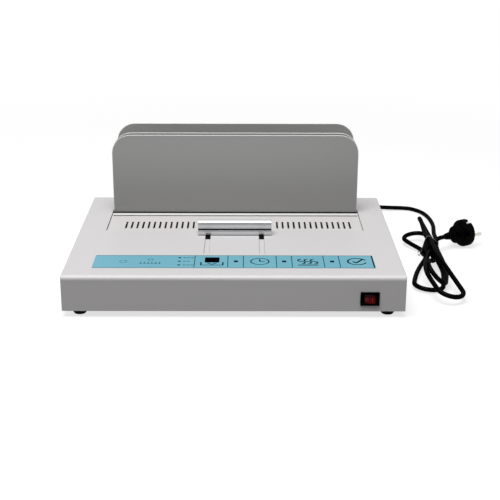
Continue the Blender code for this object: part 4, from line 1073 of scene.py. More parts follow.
@dataclass
class MainsLead:
    """The strain relief, the lead with its tied hank, and the plug."""

    diameter: float = 0.0060
    length: float = 1.72
    spacing: float = 0.0025
    straight: float = 0.0072
    seat_gap: float = 0.0003
    floor_gap: float = 0.0002
    strand_step: float = 0.0069
    tie_lift: float = 0.0014
    corner: Pair = (0.200, 0.162161)
    exit_from_side: float = 0.0500
    exit_height: float = 0.0220
    waist_offset: Pair = (0.0650, -0.1062)
    waist_half_length: float = 0.0130

    # The strain relief
    relief_length: float = 0.0320
    relief_neck: float = 0.0052
    relief_tip: float = 0.0040
    relief_tip_round: float = 0.0006
    flange_radius: float = 0.0080
    flange_depth: float = 0.0028
    flange_chamfer: float = 0.0004
    relief_ribs: Ribs = Ribs(
        8, start=0.0040, pitch=0.0034, radius=0.0062, growth=-0.0003, depth=0.0009, groove=0.0008,
        end=0.0028,
    )

    # The plug; its profiles are (radius, distance from the boot's end)
    plug_offset: Pair = (0.0855, -0.0792)
    plug_heading: float = 58.0
    plug_roll: float = 18.0
    plug_radius: float = 0.0185
    plug_length: float = 0.0390
    plug_edge: float = 0.0010
    face_radius: float = 0.0150
    face_step: Pair = (0.0005, 0.0006)
    boot_start: tuple[Pair, ...] = ((0, 0), (0.0036, 0), (0.0040, 0.0005))
    boot_ribs: Ribs = Ribs(
        4, start=0.0014, pitch=0.0030, radius=0.0045, growth=0.0005, depth=0.0009, groove=0.0010,
        end=0.0026,
    )
    shoulder: tuple[Pair, ...] = ((0.0068, 0.0150), (0.0104, 0.0158), (0.0118, 0.0172))
    grip_ribs: Ribs = Ribs(
        4, start=0.0182, pitch=0.0022, radius=0.0120, growth=0.0003, depth=0.0007, groove=0.0006,
        end=0.0018,
    )
    flare: tuple[Pair, ...] = ((0.0136, 0.0272), (0.0170, 0.0282), (0.0185, 0.0298))
    clip_half: Point = (0.0036, 0.0085, 0.0026)
    pin_radius: float = 0.0024
    pin_length: float = 0.0190
    pin_root: float = 0.0080
    pin_spacing: float = 0.0190
    pin_tip: tuple[Pair, ...] = ((1, 0.8), (0.93, 0.45), (0.7, 0.15), (0.35, 0.02), (0, 0))

    # The tie; its eye's size is its reach, its width and its height
    tie_width: float = 0.0040
    tie_thickness: float = 0.0007
    core_depth: float = 0.0010
    wire_radius: float = 0.00045
    twist_radius: float = 0.0005
    twist_reach: float = 0.0012
    eye_from_band: float = 0.0019
    eye_size: Point = (0.0016, 0.0006, 0.0030)
    eye_turn: float = 0.94

    # The lead's route from the strain relief to the hank, round behind the machine and forward
    # along the floor: X and Y from the machine's right rear corner, and the height
    route: tuple[Point, ...] = (
        (-0.0498, 0.0418, 0.0214), (-0.0482, 0.0548, 0.0190), (-0.0415, 0.0718, 0.0150),
        (-0.0275, 0.0878, 0.0105), (-0.0080, 0.0968, 0.0075), (0.0130, 0.0995, 0.0058),
        (0.0330, 0.1000, 0.0048), (0.0505, 0.1002, 0.0042), (0.0640, 0.0972, 0.0037),
        (0.0765, 0.0830, 0.0034), (0.0833, 0.0620, 0.0032), (0.0856, 0.0380, 0.0032),
        (0.0853, 0.0160, 0.0032), (0.0833, 0.0000, 0.0032), (0.0807, -0.0212, 0.0032),
        (0.0800, -0.0420, 0.0032), (0.0776, -0.0622, 0.0034),
    )

    # Each pass through the waist is (across, layer) at its rear end and at its front end
    passes: tuple[tuple[Pair, Pair], ...] = (
        ((1.44, 0), (0.32, 0)), ((-2.07, 0), (-1.80, 0)), ((-0.88, 1), (-0.74, 1)),
        ((0.64, 1), (0.83, 1)), ((-1.29, 3), (-0.65, 3)), ((1.02, 2), (-0.45, 2)),
    )
    folds: tuple[Fold, ...] = (
        Fold(-1, 1, (10.9, 4.6, 0.0), (-0.0229, 0.1178, 0.0047), 0.0180, (1.55, 1.70), (1.70, 0.38)),
        Fold(1, -1, (14.5, 8.3, 0.0), (-0.0164, 0.0481, 0.0107), 0.0156, (0.39, 1.65), (1.28, 0.38)),
        Fold(-1, -1, (12.1, -46.0, 0.0), (-0.0138, 0.1201, 0.0214), 0.0164, (1.70, 0.68), (1.22, 1.55)),
        Fold(1, 1, (2.7, 60.0, 0.0), (-0.0001, 0.0697, 0.0168), 0.0157, (0.98, 1.07), (0.80, 1.06)),
        Fold(-1, 1, (-13.7, 9.9, 13.2), (-0.0045, 0.1585, 0.0143), 0.0170, (1.40, 1.61), (0.70, 1.70)),
    )

    def __post_init__(self) -> None:
        """Works out the places that the sizes give."""
        x, y = self.corner
        self.waist = (x + self.waist_offset[0], y + self.waist_offset[1])
        heading = math.radians(self.plug_heading)
        self.plug_way = Vector((math.sin(heading), math.cos(heading), 0))
        rest = self.plug_radius + self.floor_gap
        self.plug_start = Vector((x + self.plug_offset[0], y + self.plug_offset[1], rest))
        self.exit = (x - self.exit_from_side, y + self.relief_length + self.seat_gap, self.exit_height)

    def waist_place(self, number: int, end: int) -> np.ndarray:
        """Where a pass crosses the waist's rear end (0) or front end (1)."""
        across, level = self.passes[number][end]
        x = self.waist[0] + across * (self.diameter + self.floor_gap)
        y = self.waist[1] + self.waist_half_length * (1 if end == 0 else -1)
        return np.array([x, y, self.diameter / 2 + self.tie_lift + level * self.strand_step])

    def last_pass(self) -> tuple[np.ndarray, np.ndarray, np.ndarray]:
        """Where the last pass enters and leaves the waist, and its direction."""
        leaves, enters = (self.waist_place(len(self.folds), end) for end in (0, 1))
        return enters, leaves, (leaves - enters) / np.linalg.norm(leaves - enters)

    def hank_line(self) -> np.ndarray:
        """The middle of the cord through the hank."""
        along = np.array([0, 1, 0])
        line = [self.waist_place(0, 0) + along * self.diameter * share for share in (1.1, 0.5)]
        for number, fold in enumerate(self.folds):
            end, ahead = (1 if fold.way < 0 else 0), along * fold.way
            start = self.waist_place(number, end)
            line += leg(self.waist_place(number, 1 - end), ahead, start, ahead, PASS_STEPS)
            way_in = self.last_pass()[2] if number == len(self.folds) - 1 else -ahead
            line += fold.points(self.waist, start, self.waist_place(number + 1, end), way_in)
        enters, _, ahead = self.last_pass()
        return np.array(line + [enters + ahead * self.diameter * share for share in (0, 0.5, 1.1)])

    def cord_line(self) -> np.ndarray:
        """The middle of the cord from the strain relief through the hank to the plug."""
        along, straight = np.array([0, 1, 0]), self.straight
        start, hank = np.array(self.exit), self.hank_line()
        lead_end = hank[0] + along * self.seat_gap
        lead = smooth_route(
            [start, start + along * straight / 2, start + along * straight]
            + [np.array((self.corner[0] + x, self.corner[1] + y, z)) for x, y, z in self.route]
            + [lead_end + along * straight, lead_end + along * straight / 2, lead_end]
        )
        _, leaves, through = self.last_pass()
        ahead = np.array(self.plug_way)
        tail_end = np.array(self.plug_start) + ahead * self.diameter / 2
        bend_end = np.array(self.plug_start) - ahead * (self.diameter + self.seat_gap)
        tail = [*leg(leaves, through, bend_end, ahead, TAIL_STEPS), bend_end, tail_end]
        return evenly(np.vstack([lead, hank, tail]), self.spacing)

    def cord(self) -> bpy.types.Object:
        """The cord itself, one curve from the strain relief to the plug."""
        curve = wire_curve("mains_cord", self.cord_line(), self.diameter / 2, 16)
        curve.materials.append(CORD_BLACK.material())
        made = linked("mains_cord", curve)
        return mounted(made, Body.MACHINE, ("cord_lead", "cord_hank", "cord_tail"))

    def relief(self) -> bpy.types.Object:
        """The tapered strain relief with its flange and its ribs."""
        low, high, _ = boxed("strain_relief")
        wall, gap, cut = self.corner[1], self.seat_gap, self.flange_chamfer
        start, end, wide, deep = low.y - wall, high.y - wall, self.flange_radius, self.flange_depth
        profile = [(0, start), (self.relief_neck, start), (self.relief_neck, gap)]
        profile += [(wide - cut, gap), (wide, gap + cut), (wide, deep - cut), (wide - cut, deep)]
        profile += self.relief_ribs.profile()
        profile += [(self.relief_tip, end - self.relief_tip_round), (self.relief_tip - cut, end), (0, end)]
        form = Form.turned(profile, (self.exit[0], wall, self.exit_height), (0, 1, 0), 40)
        return form.piece("ribbed_strain_relief", CORD_BLACK, ("strain_relief",))

    def plug(self) -> list[bpy.types.Object]:
        """The plug with its ribbed boot, its grips and its two pins."""
        start, way, end = self.plug_start, self.plug_way, self.plug_length
        inner, step = (self.face_radius - self.face_step[0], end - self.face_step[1])
        profile = [*self.boot_start, *self.boot_ribs.profile(), *self.shoulder]
        profile += [*self.grip_ribs.profile(), *self.flare, (self.plug_radius, end - self.plug_edge)]
        profile += [(self.plug_radius - self.plug_edge, end), (self.face_radius, end)]
        form = Form.turned([*profile, (inner, step), (0, step)], start, way, 64)
        roll = math.radians(self.plug_roll)
        across = Vector((way.y, -way.x, 0)) * math.cos(roll) - Vector((0, 0, math.sin(roll)))
        upright, face = across.cross(way), start + way * end
        basis = Matrix((across, way, upright)).transposed().to_4x4()
        half = Vector(self.clip_half)
        for side in (-1, 1):
            middle = face + upright * side * self.plug_radius
            form.carved(Form.block(-half, half).moved(Matrix.Translation(middle) @ basis))
        clip = self.plug_radius - half.z
        for part in form.mesh.faces:
            out = abs((part.calc_center_median() - start).dot(upright))
            if abs(out - clip) < self.floor_gap / 2 and abs(part.normal.dot(upright)) > SQUARELY:
                form.inked([part], 1)
        made = [form.piece("mains_plug", CORD_BLACK, ("plug_body",), more=(NICKEL,))]
        for name, side in (("left", -1), ("right", 1)):
            radius, tip = self.pin_radius, self.pin_root + self.pin_length
            root = face + across * side * self.pin_spacing / 2 - way * self.pin_root
            profile = [(0, 0), (radius, 0)] + [(radius * a, tip - radius * b) for a, b in self.pin_tip]
            pin = Form.turned(profile, root, way, 32)
            made.append(pin.piece(f"mains_pin_{name}", NICKEL, (f"plug_pin_{name}",)))
        return made

    def tie(self) -> bpy.types.Object:
        """The flat tie pulled tight round the waist, with a small eye on its left."""
        y, half = self.waist[1], self.tie_width / 2
        outer, inner = self.taut(self.tie_thickness), self.taut(0)
        band = Form.outlined(outer, Plane.FRONT, y - half, y + half)
        band.carved(Form.outlined(inner, Plane.FRONT, y - half * 2, y + half * 2))
        core = Form.outlined(inner, Plane.FRONT, y - self.core_depth / 2, y + self.core_depth / 2)
        (left, level), turn = min(outer), self.twist_radius
        wires = []
        for phase in (0, math.pi):
            line = []
            for share in np.linspace(0, 1, 24):
                angle, x = phase + share * math.tau, left + turn - share * self.twist_reach
                line.append((x, y + turn * math.cos(angle), level + turn * math.sin(angle)))
            wires.append(line)
        eye, (reach, wide, tall) = [], self.eye_size
        for share in np.linspace(0, 1, 33):
            angle = (share - 0.5) * math.tau * self.eye_turn
            x = left - self.eye_from_band + reach * math.cos(angle)
            eye.append((x, y + wide * math.sin(angle), level + tall * math.sin(angle)))
        swept = [Form.swept(line, self.wire_radius, 8) for line in (*wires, eye)]
        return band.joined([core, *swept]).piece("twisted_tie", TIE_BLACK, ("cord_tie",))

    def taut(self, thickness: float) -> list[Pair]:
        """The outline of something pulled tight round the strands in the waist, X and Z."""
        line = self.cord_line()
        near = line[abs(line[:, 1] - self.waist[1]) < self.tie_width]
        radius = self.diameter / 2 + thickness
        points = [
            Vector((x + radius * math.cos(angle), z + radius * math.sin(angle)))
            for x, _, z in near
            for angle in np.arange(24) * math.tau / 24
        ]
        return [tuple(points[number]) for number in convex_hull_2d(points)]

    def build(self) -> None:
        cord, relief, plug, tie = self.cord(), self.relief(), self.plug(), self.tie()


# The machine


@dataclass
class Screw:
    """A pan-head screw with a cross recess; its dome's profile is in shares of the head."""

    radius: float
    head_radius: float
    head_height: float
    head_edge: float = 0.0002
    tip: Pair = (0.7, 0.4)
    dome: tuple[Pair, ...] = ((1, 0.45), (0.93, 0.68), (0.75, 0.87), (0.45, 1), (0, 1))
    cross: float = 0.62
    slot: float = 0.14
    slot_floor: float = 0.35

    def form(self, seat: Point, out: Point, depth: float) -> Form:
        """The screw on its seat.

        Args:
            seat: The middle of the face that the head lies on.
            out: The direction in which the head stands out.
            depth: How far the shank goes in.

        Returns:
            The form.
        """
        head, height, shank = self.head_radius, self.head_height, self.radius
        profile = [(0, -depth), (shank * self.tip[0], -depth), (shank, -depth + shank * self.tip[1])]
        profile += [(shank, 0), (head - self.head_edge, 0), (head, self.head_edge)]
        profile += [(head * wide, height * high) for wide, high in self.dome]
        form = Form.turned(profile, (0, 0, 0), (0, 0, 1), 32)
        reach, slot, floor = head * self.cross, head * self.slot, height * self.slot_floor
        for long, short in ((reach, slot), (slot, reach)):
            form.carved(Form.block((-long, -short, floor), (long, short, height * 2)))
        return form.moved(Matrix.Translation(seat) @ towards(out))


@dataclass
class Housing:
    """The folded cover, the pan under it, the rubber feet and the screws that hold them."""

    cover_edge: float = 0.0004
    pan_edge: float = 0.0002
    sheet: float = 0.0012
    wall_margin: float = 0.01
    bend_reach: float = 0.006
    bend_facing: Pair = (0.60, 0.995)
    rim_facing: float = 0.92
    foot_edge: float = 0.0007
    foot_bore: float = 0.0021
    foot_waist: Pair = (0.0010, 0.0016)
    foot_toe: Pair = (0.0017, 0.0005)
    foot_base: float = 0.0014
    recess: float = 0.0050
    recess_lip: float = 0.0004
    recess_depth: float = 0.0034

    def cover(self) -> None:
        """The cover, with the coat rounding every cut edge, painted shade on its inner faces and in its
        openings, and a painted highlight on the front bend.
        """
        form = Form.carried("top_cover").softened(self.cover_edge)
        low, high, middle = boxed("top_cover")
        middle.z, margin, reach = low.z, self.wall_margin, self.bend_reach
        # Inner faces and the walls of the openings take painted shade, and the faces of the front bend a
        # painted highlight.
        for face in form.mesh.faces:
            place, facing = face.calc_center_median(), face.normal
            opening = place.z > high.z - self.sheet - WELD and facing.z < self.rim_facing
            inside = low.x + margin < place.x < high.x - margin and low.y + margin < place.y < high.y - reach
            if facing.dot(place - middle) < 0 or (opening and inside):
                form.inked([face], 1)
            elif place.y < low.y + reach and self.bend_facing[0] < facing.z < self.bend_facing[1]:
                form.inked([face], 2)
        form.piece("coated_cover", POWDER_COAT, ("top_cover",), FOLDED, (OPENING_SHADE, BEND_HIGHLIGHT))

    def pan(self) -> None:
        """The pan with its flanges, with painted shade on its inner faces."""
        form = Form.carried("bottom_pan").softened(self.pan_edge, 1)
        _, high, middle = boxed("bottom_pan")
        middle.z = high.z
        inner = [face for face in form.mesh.faces if face.normal.dot(face.calc_center_median() - middle) < 0]
        form.inked(inner, 1).piece("zinc_pan", ZINC, ("bottom_pan",), FOLDED, (INSIDE_SHADE,))

    def feet(self) -> None:
        """Four moulded feet, each held by a screw in its recess."""
        for place in CORNERS:
            low, high, middle = boxed(f"foot_{place}")
            top, radius, edge = high.z, (high.x - low.x) / 2, self.foot_edge
            profile = [(self.foot_bore, self.recess_depth), (self.foot_bore, top), (radius - edge, top)]
            profile += [(radius, top - edge), (radius - self.foot_waist[0], self.foot_waist[1])]
            profile += [(radius - self.foot_toe[0], self.foot_toe[1]), (radius - self.foot_base - edge, 0)]
            profile += [(self.recess + self.recess_lip, 0), (self.recess, self.recess_lip)]
            profile += [(self.recess, self.recess_depth)]
            foot = Form.turned(profile, (middle.x, middle.y, 0), (0, 0, 1), 48, ring=True)
            foot.piece(f"rubber_foot_{place}", RUBBER, (f"foot_{place}",), BLUNT)
            low, high, _ = boxed(f"foot_screw_{place}")
            screw = Screw(radius=0.0018, head_radius=(high.x - low.x) / 2, head_height=0.0022)
            seat = low.z + screw.head_height
            form = screw.form((middle.x, middle.y, seat), (0, 0, -1), high.z - seat)
            form.piece(f"foot_fixing_{place}", STEEL, (f"foot_screw_{place}",))

    def screws(self) -> None:
        """Four screws through the cover's sides."""
        for side, way in (("left", -1), ("right", 1)):
            for end in ("front", "rear"):
                node = f"cover_screw_{side}_{end}"
                low, high, middle = boxed(node)
                screw = Screw(radius=0.0015, head_radius=(high.z - low.z) / 2, head_height=0.0014)
                tip, foot = (high.x, low.x) if way > 0 else (low.x, high.x)
                seat = (tip - way * screw.head_height, middle.y, middle.z)
                form = screw.form(seat, (way, 0, 0), abs(foot - seat[0]))
                form.piece(f"cover_fixing_{side}_{end}", STEEL, (node,))

    def build(self) -> None:
        """Makes every piece of the housing."""
        self.cover()
        self.pan()
        self.feet()
        self.screws()


@dataclass
class FixedPlates:
    """The middle plate of the clamp, the rear plate of the cooling rack, and their screws."""

    edge: float = 0.0003
    rim: float = 0.0008
    rim_above: float = 0.057

    def build(self) -> None:
        """Makes both plates and the screws in their feet."""
        for node in ("middle_plate", "rear_plate"):
            # Each plate's rim takes the pale coat as a painted highlight.
            form = Form.carried(node).rimmed(self.rim, self.rim_above).softened(self.edge)
            form.piece(f"coated_{node}", PLATE_COAT, (node,), FOLDED, (PALE_COAT,))
            for side in ("left", "right"):
                low, high, middle = boxed(f"{node}_screw_{side}")
                screw = Screw(radius=0.0016, head_radius=(high.x - low.x) / 2, head_height=0.0018)
                seat = (middle.x, middle.y, high.z - screw.head_height)
                form = screw.form(seat, (0, 0, 1), seat[2] - low.z)
                form.piece(f"{node}_fixing_{side}", STEEL, (f"{node}_screw_{side}",))


@dataclass
class ClampCarriage:
    """What slides: the slide plate, the foot angle, the front plate, the handle and its guides."""

    edge: float = 0.0003
    rim: float = 0.0008
    slide_edge: float = 0.00015
    vent_zone: float = 0.155
    slit_shadow_depth: float = 0.0028
    band: float = 0.0064
    groove: float = 0.0024
    groove_depth: float = 0.0016
    low_radius: float = 0.0006
    front_radius: float = 0.0012
    rear_radius: float = 0.0030
    lip_radius: float = 0.0002
    end_radius: float = 0.0004

    def slide(self) -> None:
        """The slide plate, in a lighter copy of the coat as painted light, with painted shade underneath and
        on the walls of its vents.
        """
        form = Form.carried("slide_plate").softened(self.slide_edge, 1)
        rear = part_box("clamp_foot")[0].y
        # The underside and the walls of the vents take painted shade.
        for face in form.mesh.faces:
            place, rise = face.calc_center_median(), face.normal.z
            if rise < -HALF or (abs(rise) < HALF and place.y < rear and abs(place.x) < self.vent_zone):
                form.inked([face], 1)
        form.piece(
            "coated_slide_plate", SLIDE_COAT, ("slide_plate",), FOLDED, (SLIT_DARK,), Body.CARRIAGE
        )

    def clamp(self) -> None:
        """The foot angle, with painted shadow in the slit that the front plate shades and painted shade on
        its front edge, and the front plate with a painted highlight on its edges and painted shade under it.
        """
        form = Form.carried("clamp_foot").softened(self.edge)
        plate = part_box("front_plate")[0]
        flange, slit_shadow_edge = plate.z - self.edge, plate.y - self.slit_shadow_depth
        bmesh.ops.bisect_plane(
            form.mesh, geom=form.mesh.verts[:] + form.mesh.edges[:] + form.mesh.faces[:],
            plane_co=(0, slit_shadow_edge, 0), plane_no=(0, 1, 0), dist=WELD,
        )
        # A strip of the flange next to the front plate takes painted shadow, and the faces towards the front
        # painted shade.
        for face in form.mesh.faces:
            place, facing = face.calc_center_median(), face.normal
            if place.y > slit_shadow_edge and (facing.z > SLIGHTLY or (facing.y < -SLIGHTLY and place.z > flange)):
                form.inked([face], 1)
            elif facing.y < -SLIGHTLY:
                form.inked([face], 2)
        inks = (SLIT_DARK, FLANGE_EDGE_SHADE)
        form.piece("coated_foot_angle", PALE_COAT, ("clamp_foot",), FOLDED, inks, Body.CARRIAGE)
        # The front plate's edges take the pale coat as a painted highlight, and its underside painted shade.
        form = Form.carried("front_plate").rimmed(self.rim, 0)
        form.inked([face for face in form.mesh.faces if face.normal.z < -SLIGHTLY], 2)
        inks = (PALE_COAT, SLIT_DARK)
        form.piece("coated_front_plate", PLATE_COAT, ("front_plate",), FOLDED, inks, Body.CARRIAGE)

    def handle(self) -> None:
        """The aluminium bar with painted reflections in bands, painted shade in the groove along its front
        and a painted highlight on its top.
        """
        low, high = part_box("handle_bar")
        under = low.z + self.band
        over, inside = under + self.groove, low.y + self.groove_depth
        points = [(low.y, low.z), (high.y, low.z), (high.y, high.z), (low.y, high.z)]
        points += [(low.y, over), (inside, over), (inside, under), (low.y, under)]
        radii = (self.low_radius, self.low_radius, self.rear_radius, self.front_radius, self.lip_radius)
        fillets = dict(enumerate(radii)) | {7: self.lip_radius}
        form = Form.outlined(points, Plane.SIDE, low.x, high.x, fillets, 8)
        form.softened(
            self.end_radius, 2, 60, lambda edge: abs(edge.verts[0].co.x - edge.verts[1].co.x) < WELD
        )
        reach = self.groove / 2 + WELD
        # The groove takes painted shade and the top a painted highlight.
        for face in form.mesh.faces:
            place = face.calc_center_median()
            if abs(place.z - (under + over) / 2) < reach and low.y + WELD < place.y < inside + WELD:
                form.inked([face], 1)
            elif face.normal.z > SQUARELY and place.z > high.z - WELD:
                form.inked([face], 2)
        inks = (GROOVE_SHADE, HANDLE_TOP_HIGHLIGHT)
        form.piece("aluminium_handle", ALUMINIUM, ("handle_bar",), FOLDED, inks, Body.CARRIAGE)

    def guides(self) -> None:
        """The two black guides that carry the handle and fill the slots in front of it."""
        for side in ("left", "right"):
            node = f"handle_post_{side}"
            form = Form.carried(node).softened(self.edge, 2, 60)
            form.piece(f"moulded_guide_{side}", BLACK_PLASTIC, (node,), body=Body.CARRIAGE)

    def build(self) -> None:
        """Makes every piece of the carriage."""
        self.slide()
        self.clamp()
        self.handle()
        self.guides()


@dataclass
class Inside:
    """The rails, the heater, the board and the supply, all under the deck."""

    edge: float = 0.0002

    def build(self) -> None:
        """Softens the edges of each node but the wires, and gives it its finish."""
        # The heater bridge takes the painted shade of the inside.
        looks = {
            "slide_rail_left": STEEL, "slide_rail_right": STEEL, "heater_plate": HOT_PLATE,
            "heater_bridge": INSIDE_SHADE, "heater_element": MICA, "insulation_board": INSULATION,
            "thermostat": STEEL, "thermal_fuse": NICKEL, "circuit_board": CIRCUIT,
            "relay": BLACK_PLASTIC, "buzzer": BLACK_PLASTIC, "transformer": IRON, "terminal_block": NYLON,
        }
        looks |= {f"board_spacer_{place}": NYLON for place in CORNERS}
        looks |= {f"indicator_light_{number}": LAMP for number in (1, 2, 3)}
        looks |= {"mains_wire": CORD_BLACK, "switch_wire": CORD_BLACK}
        for node, finish in looks.items():
            form = Form.carried(node)
            if "wire" not in node:
                form.softened(self.edge, 1)
            form.piece(f"{node}_finished", finish, (node,), BLUNT)


@dataclass
class Overlay:
    """The blue printed panel: its border, its cells, its lamp windows and plain pictograms."""

    sheet_edge: float = 0.0001
    sink: float = 0.00004
    rise: float = 0.00003
    rule: float = 0.0009
    dividers: tuple[float, ...] = (-0.0470, -0.0074, 0.0112, 0.0505, 0.0690, 0.1071, 0.1257)
    windows: tuple[float, ...] = (0.0022, 0.0598, 0.1170)
    window_size: Pair = (0.0050, 0.0064)
    cells: tuple[float, ...] = (-0.0272, 0.0308, 0.0880, 0.1467)
    window_corner: float = 0.0010

    # The pictograms, from the middle of each cell; a stroke is its two ends
    booklet_place: Pair = (0.0010, 0.0050)
    booklet_size: Pair = (0.0175, 0.0180)
    booklet_corner: float = 0.0012
    tray: tuple[Stroke, ...] = (
        (-0.0120, -0.0030, -0.0120, -0.0130), (-0.0128, -0.0130, 0.0148, -0.0130),
        (0.0140, -0.0030, 0.0140, -0.0130), (-0.0045, -0.0055, 0.0010, -0.0105),
        (0.0065, -0.0055, 0.0010, -0.0105),
    )
    dial_radius: float = 0.0108
    hands: tuple[Stroke, ...] = ((0, -0.0005, 0, 0.0078), (-0.0005, 0, 0.0062, 0))
    hot_bar: Stroke = (-0.0120, -0.0125, 0.0120, -0.0125)
    wave_radius: float = 0.0040
    wave_step: float = 0.0075
    ring_radius: float = 0.0110
    ring_arc: Pair = (20, 320)
    tick: tuple[Stroke, ...] = ((-0.0050, 0.0, -0.0010, -0.0055), (-0.0014, -0.0053, 0.0075, 0.0085))

    # The group of marks on the left
    dots_x: float = -0.0653
    dot_step: float = 0.0126
    dot_radius: float = 0.0019
    dash: float = 0.0034
    dash_gap: float = 0.0012
    dash_from_dot: float = 0.0045
    scale_base: Stroke = (-0.1130, -0.0080, -0.0865, -0.0080)
    scale_marks: int = 6
    scale_first: float = -0.1110
    scale_step: float = 0.0045
    scale_reach: Pair = (-0.0080, -0.0020)
    rings: tuple[tuple[Pair, float, Pen], ...] = (
        ((-0.0998, 0.0060), 0.0030, Pen.MIDDLE_RING), ((-0.1320, -0.0010), 0.0042, Pen.SMALL_RING),
    )

    def __post_init__(self) -> None:
        """Takes the panel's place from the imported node."""
        self.low, self.high, middle = boxed("control_panel")
        self.middle = middle.y
        self.bottom, self.top = self.high.z - self.sink, self.high.z + self.rise

    def bar(self, start: Pair, end: Pair, width: float) -> Form:
        """A straight printed line between two places, given from the panel's middle line."""
        first = Vector((start[0], start[1] + self.middle, 0))
        last = Vector((end[0], end[1] + self.middle, 0))
        way = last - first
        half = way.length / 2
        form = Form.block((-half, -width / 2, self.bottom), (half, width / 2, self.top))
        turn = Matrix.Rotation(math.atan2(way.y, way.x), 4, "Z")
        return form.moved(Matrix.Translation((first + last) / 2) @ turn)

    def bars(self, x: float, pen: Pen, strokes: Iterable[Stroke]) -> list[Form]:
        """Straight printed lines, across from a place."""
        return [self.bar((x + a, b), (x + c, d), pen.value) for a, b, c, d in strokes]

    def arc(self, centre: Pair, radius: float, pen: Pen, start: float = 0.0, sweep: float = 360.0) -> Form:
        """A printed arc.

        Args:
            centre: Its centre, X and the distance from the panel's middle line.
            radius: The radius of its middle line.
            pen: How wide the line is.
            start: Where it starts, in degrees.
            sweep: How far it goes round, in degrees.

        Returns:
            The form.
        """
        ends = [(radius + side * pen.value / 2, 0, 0) for side in (-1, 1)]
        form = Form.spun(ends, (0, 0, 1), math.radians(sweep), max(6, round(sweep / 10)))
        place = (centre[0], centre[1] + self.middle, self.bottom)
        form.moved(Matrix.Translation(place) @ Matrix.Rotation(math.radians(start), 4, "Z"))
        return form.pushed(UP * (self.top - self.bottom))

    def dot(self, centre: Pair, radius: float) -> Form:
        """A printed dot."""
        form = Form()
        matrix = Matrix.Translation((centre[0], centre[1] + self.middle, self.bottom))
        bmesh.ops.create_circle(form.mesh, cap_ends=True, segments=24, radius=radius, matrix=matrix)
        return form.pushed(UP * (self.top - self.bottom))

    def patch(self, centre: Pair, size: Pair, radius: float) -> Form:
        """A printed block with rounded corners."""
        (x, y), (wide, deep) = (centre[0], centre[1] + self.middle), (size[0] / 2, size[1] / 2)
        points = [(x - wide, y - deep), (x + wide, y - deep), (x + wide, y + deep), (x - wide, y + deep)]
        return Form.outlined(
            points, Plane.FLOOR, self.bottom, self.top, dict.fromkeys(range(4), radius), 4
        )

    def border(self) -> list[Form]:
        """Thin lines along the rear and the right edge, and the rules between the cells."""
        half = (self.high.y - self.low.y) / 2 - self.rule
        right, left = self.high.x - self.rule, self.low.x + self.rule
        lines = [self.bar((x, -half), (x, half), self.rule) for x in self.dividers]
        lines.append(self.bar((left, half), (right, half), self.rule))
        right -= self.rule / 2
        return [*lines, self.bar((right, -half), (right, half), self.rule * 2)]

    def sheet_icon(self, x: float) -> list[Form]:
        """A dark booklet over a tray: what goes into the trough."""
        across, along = self.booklet_place
        booklet = self.patch((x + across, along), self.booklet_size, self.booklet_corner)
        return [booklet, *self.bars(x, Pen.TRAY, self.tray)]

    def clock_icon(self, x: float) -> list[Form]:
        """A clock: wait while the machine heats."""
        return [self.arc((x, 0), self.dial_radius, Pen.TRAY), *self.bars(x, Pen.HAND, self.hands)]

    def heat_icon(self, x: float) -> list[Form]:
        """Three waves over a bar: the plate is hot."""
        made, radius = self.bars(x, Pen.BOLD, [self.hot_bar]), self.wave_radius
        for offset in (-self.wave_step, 0, self.wave_step):
            for side in (-1, 1):
                made.append(self.arc((x + offset, side * radius), radius, Pen.WAVE, side * 90, 180))
        return made

    def done_icon(self, x: float) -> list[Form]:
        """A tick in a ring: the book is ready."""
        ring = self.arc((x, 0), self.ring_radius, Pen.WAVE, *self.ring_arc)
        return [ring, *self.bars(x, Pen.BOLD, self.tick)]

    def left_group(self) -> tuple[list[Form], list[Form]]:
        """Three dots with two or three dashes, and a plain scale with two rings further left."""
        dots = []
        for row in (-1, 0, 1):
            y = -row * self.dot_step
            dots.append(self.dot((self.dots_x, y), self.dot_radius))
            for number in range(3 - (row == 0)):
                start = self.dots_x + self.dash_from_dot + number * (self.dash + self.dash_gap)
                dots += self.bars(start, Pen.DASH, [(0, y, self.dash, y)])
        low, high = self.scale_reach
        marks = [self.scale_first + number * self.scale_step for number in range(self.scale_marks)]
        faint = self.bars(0, Pen.SCALE, [self.scale_base, *((x, low, x, high) for x in marks)])
        return dots, faint + [self.arc(*ring) for ring in self.rings]

    def build(self) -> None:
        """Makes the overlay and prints it in its inks."""
        sheet = Form.carried("control_panel").softened(self.sheet_edge, 1, 60)
        sheet.piece("blue_panel", PANEL_BLUE, ("control_panel",))
        dots, faint = self.left_group()
        booklet, clock, heat, done = self.cells
        black = self.sheet_icon(booklet) + self.heat_icon(heat) + self.done_icon(done)
        lamps = [self.patch((x, 0), self.window_size, self.window_corner) for x in self.windows]
        prints = {
            "panel_rules": (INK_TEAL, self.border()),
            "panel_marks_black": (INK_BLACK, black),
            "panel_marks_teal": (INK_TEAL, self.clock_icon(clock) + dots),
            "panel_marks_faint": (INK_FAINT, faint),
            "lamp_windows": (WINDOW, lamps),
        }
        for name, (ink, forms) in prints.items():
            Form().joined(forms).piece(name, ink)


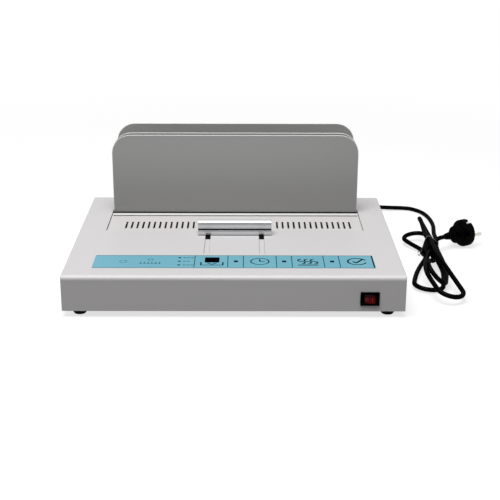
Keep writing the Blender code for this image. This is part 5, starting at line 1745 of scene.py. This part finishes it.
@dataclass
class PowerSwitch:
    """The switch housing with its bezel, and the rocker with its two marks."""

    bezel_edge: float = 0.00035
    rocker_edge: float = 0.0005
    pivot: Pair = (0.158, -0.157139)
    crest: float = 0.0030
    facet: float = 10.0
    mark_place: float = 0.003168
    mark_rise: float = 0.00006
    mark_sink: float = 0.0001
    mark_size: float = 0.0038
    mark_line: float = 0.0006

    def marks(self) -> Form:
        """An upright stroke on one half of the rocker and a ring on the other."""
        facet, thick, half = math.radians(self.facet), self.mark_sink + self.mark_rise, self.mark_size / 2
        ring = Form.spun([(half - self.mark_line, 0, 0), (half, 0, 0)], (0, 1, 0), math.tau, 32)
        ring.pushed(Vector((0, thick, 0)))
        width = self.mark_line / 2
        stroke = Form.block((-width, 0, -half), (width, thick, half))
        pivot = Vector((*self.pivot, boxed("rocker")[2].z))
        tilt = Matrix.Translation(pivot) @ Matrix.Rotation(-facet, 4, "Z")
        proud = Matrix.Translation((0, -self.mark_rise, 0))
        for side, form in ((-1, ring), (1, stroke)):
            place = (side * self.mark_place, -self.crest - self.mark_place * math.tan(facet), 0)
            turn = Matrix.Rotation(-side * facet, 4, "Z")
            form.moved(tilt @ Matrix.Translation(place) @ turn @ proud)
        return Form().joined([ring, stroke]).faced_out()

    def build(self) -> None:
        """Makes the housing, the rocker and its marks."""
        case = Form.carried("switch_housing").softened(self.bezel_edge, 2, 60)
        case.piece("switch_case", SWITCH_PLASTIC, ("switch_housing",), FOLDED)
        rocker = Form.carried("rocker").softened(self.rocker_edge, 3)
        rocker.piece("red_rocker", ROCKER_RED, ("rocker",), FOLDED, body=Body.ROCKER)
        self.marks().piece("rocker_marks", MARK_PALE, body=Body.ROCKER)


def corners() -> list[list[float]]:
    """The lowest and highest corner of what shows, as plain numbers."""
    return [list(corner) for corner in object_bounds()]


def main() -> None:
    """Builds the studio and every sub-assembly."""
    logging.basicConfig(level=logging.INFO, format="%(message)s")
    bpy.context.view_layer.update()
    studio = Studio()
    studio.camera()
    MainsLead().build()
    studio.world()
    studio.lamp()
    studio.floor()
    bpy.context.scene.view_settings.view_transform = "Standard"
    for assembly in (Housing(), FixedPlates(), ClampCarriage(), Inside(), Overlay(), PowerSwitch()):
        log.info("%s", type(assembly).__name__)
        assembly.build()


if __name__ == "__main__":
    main()
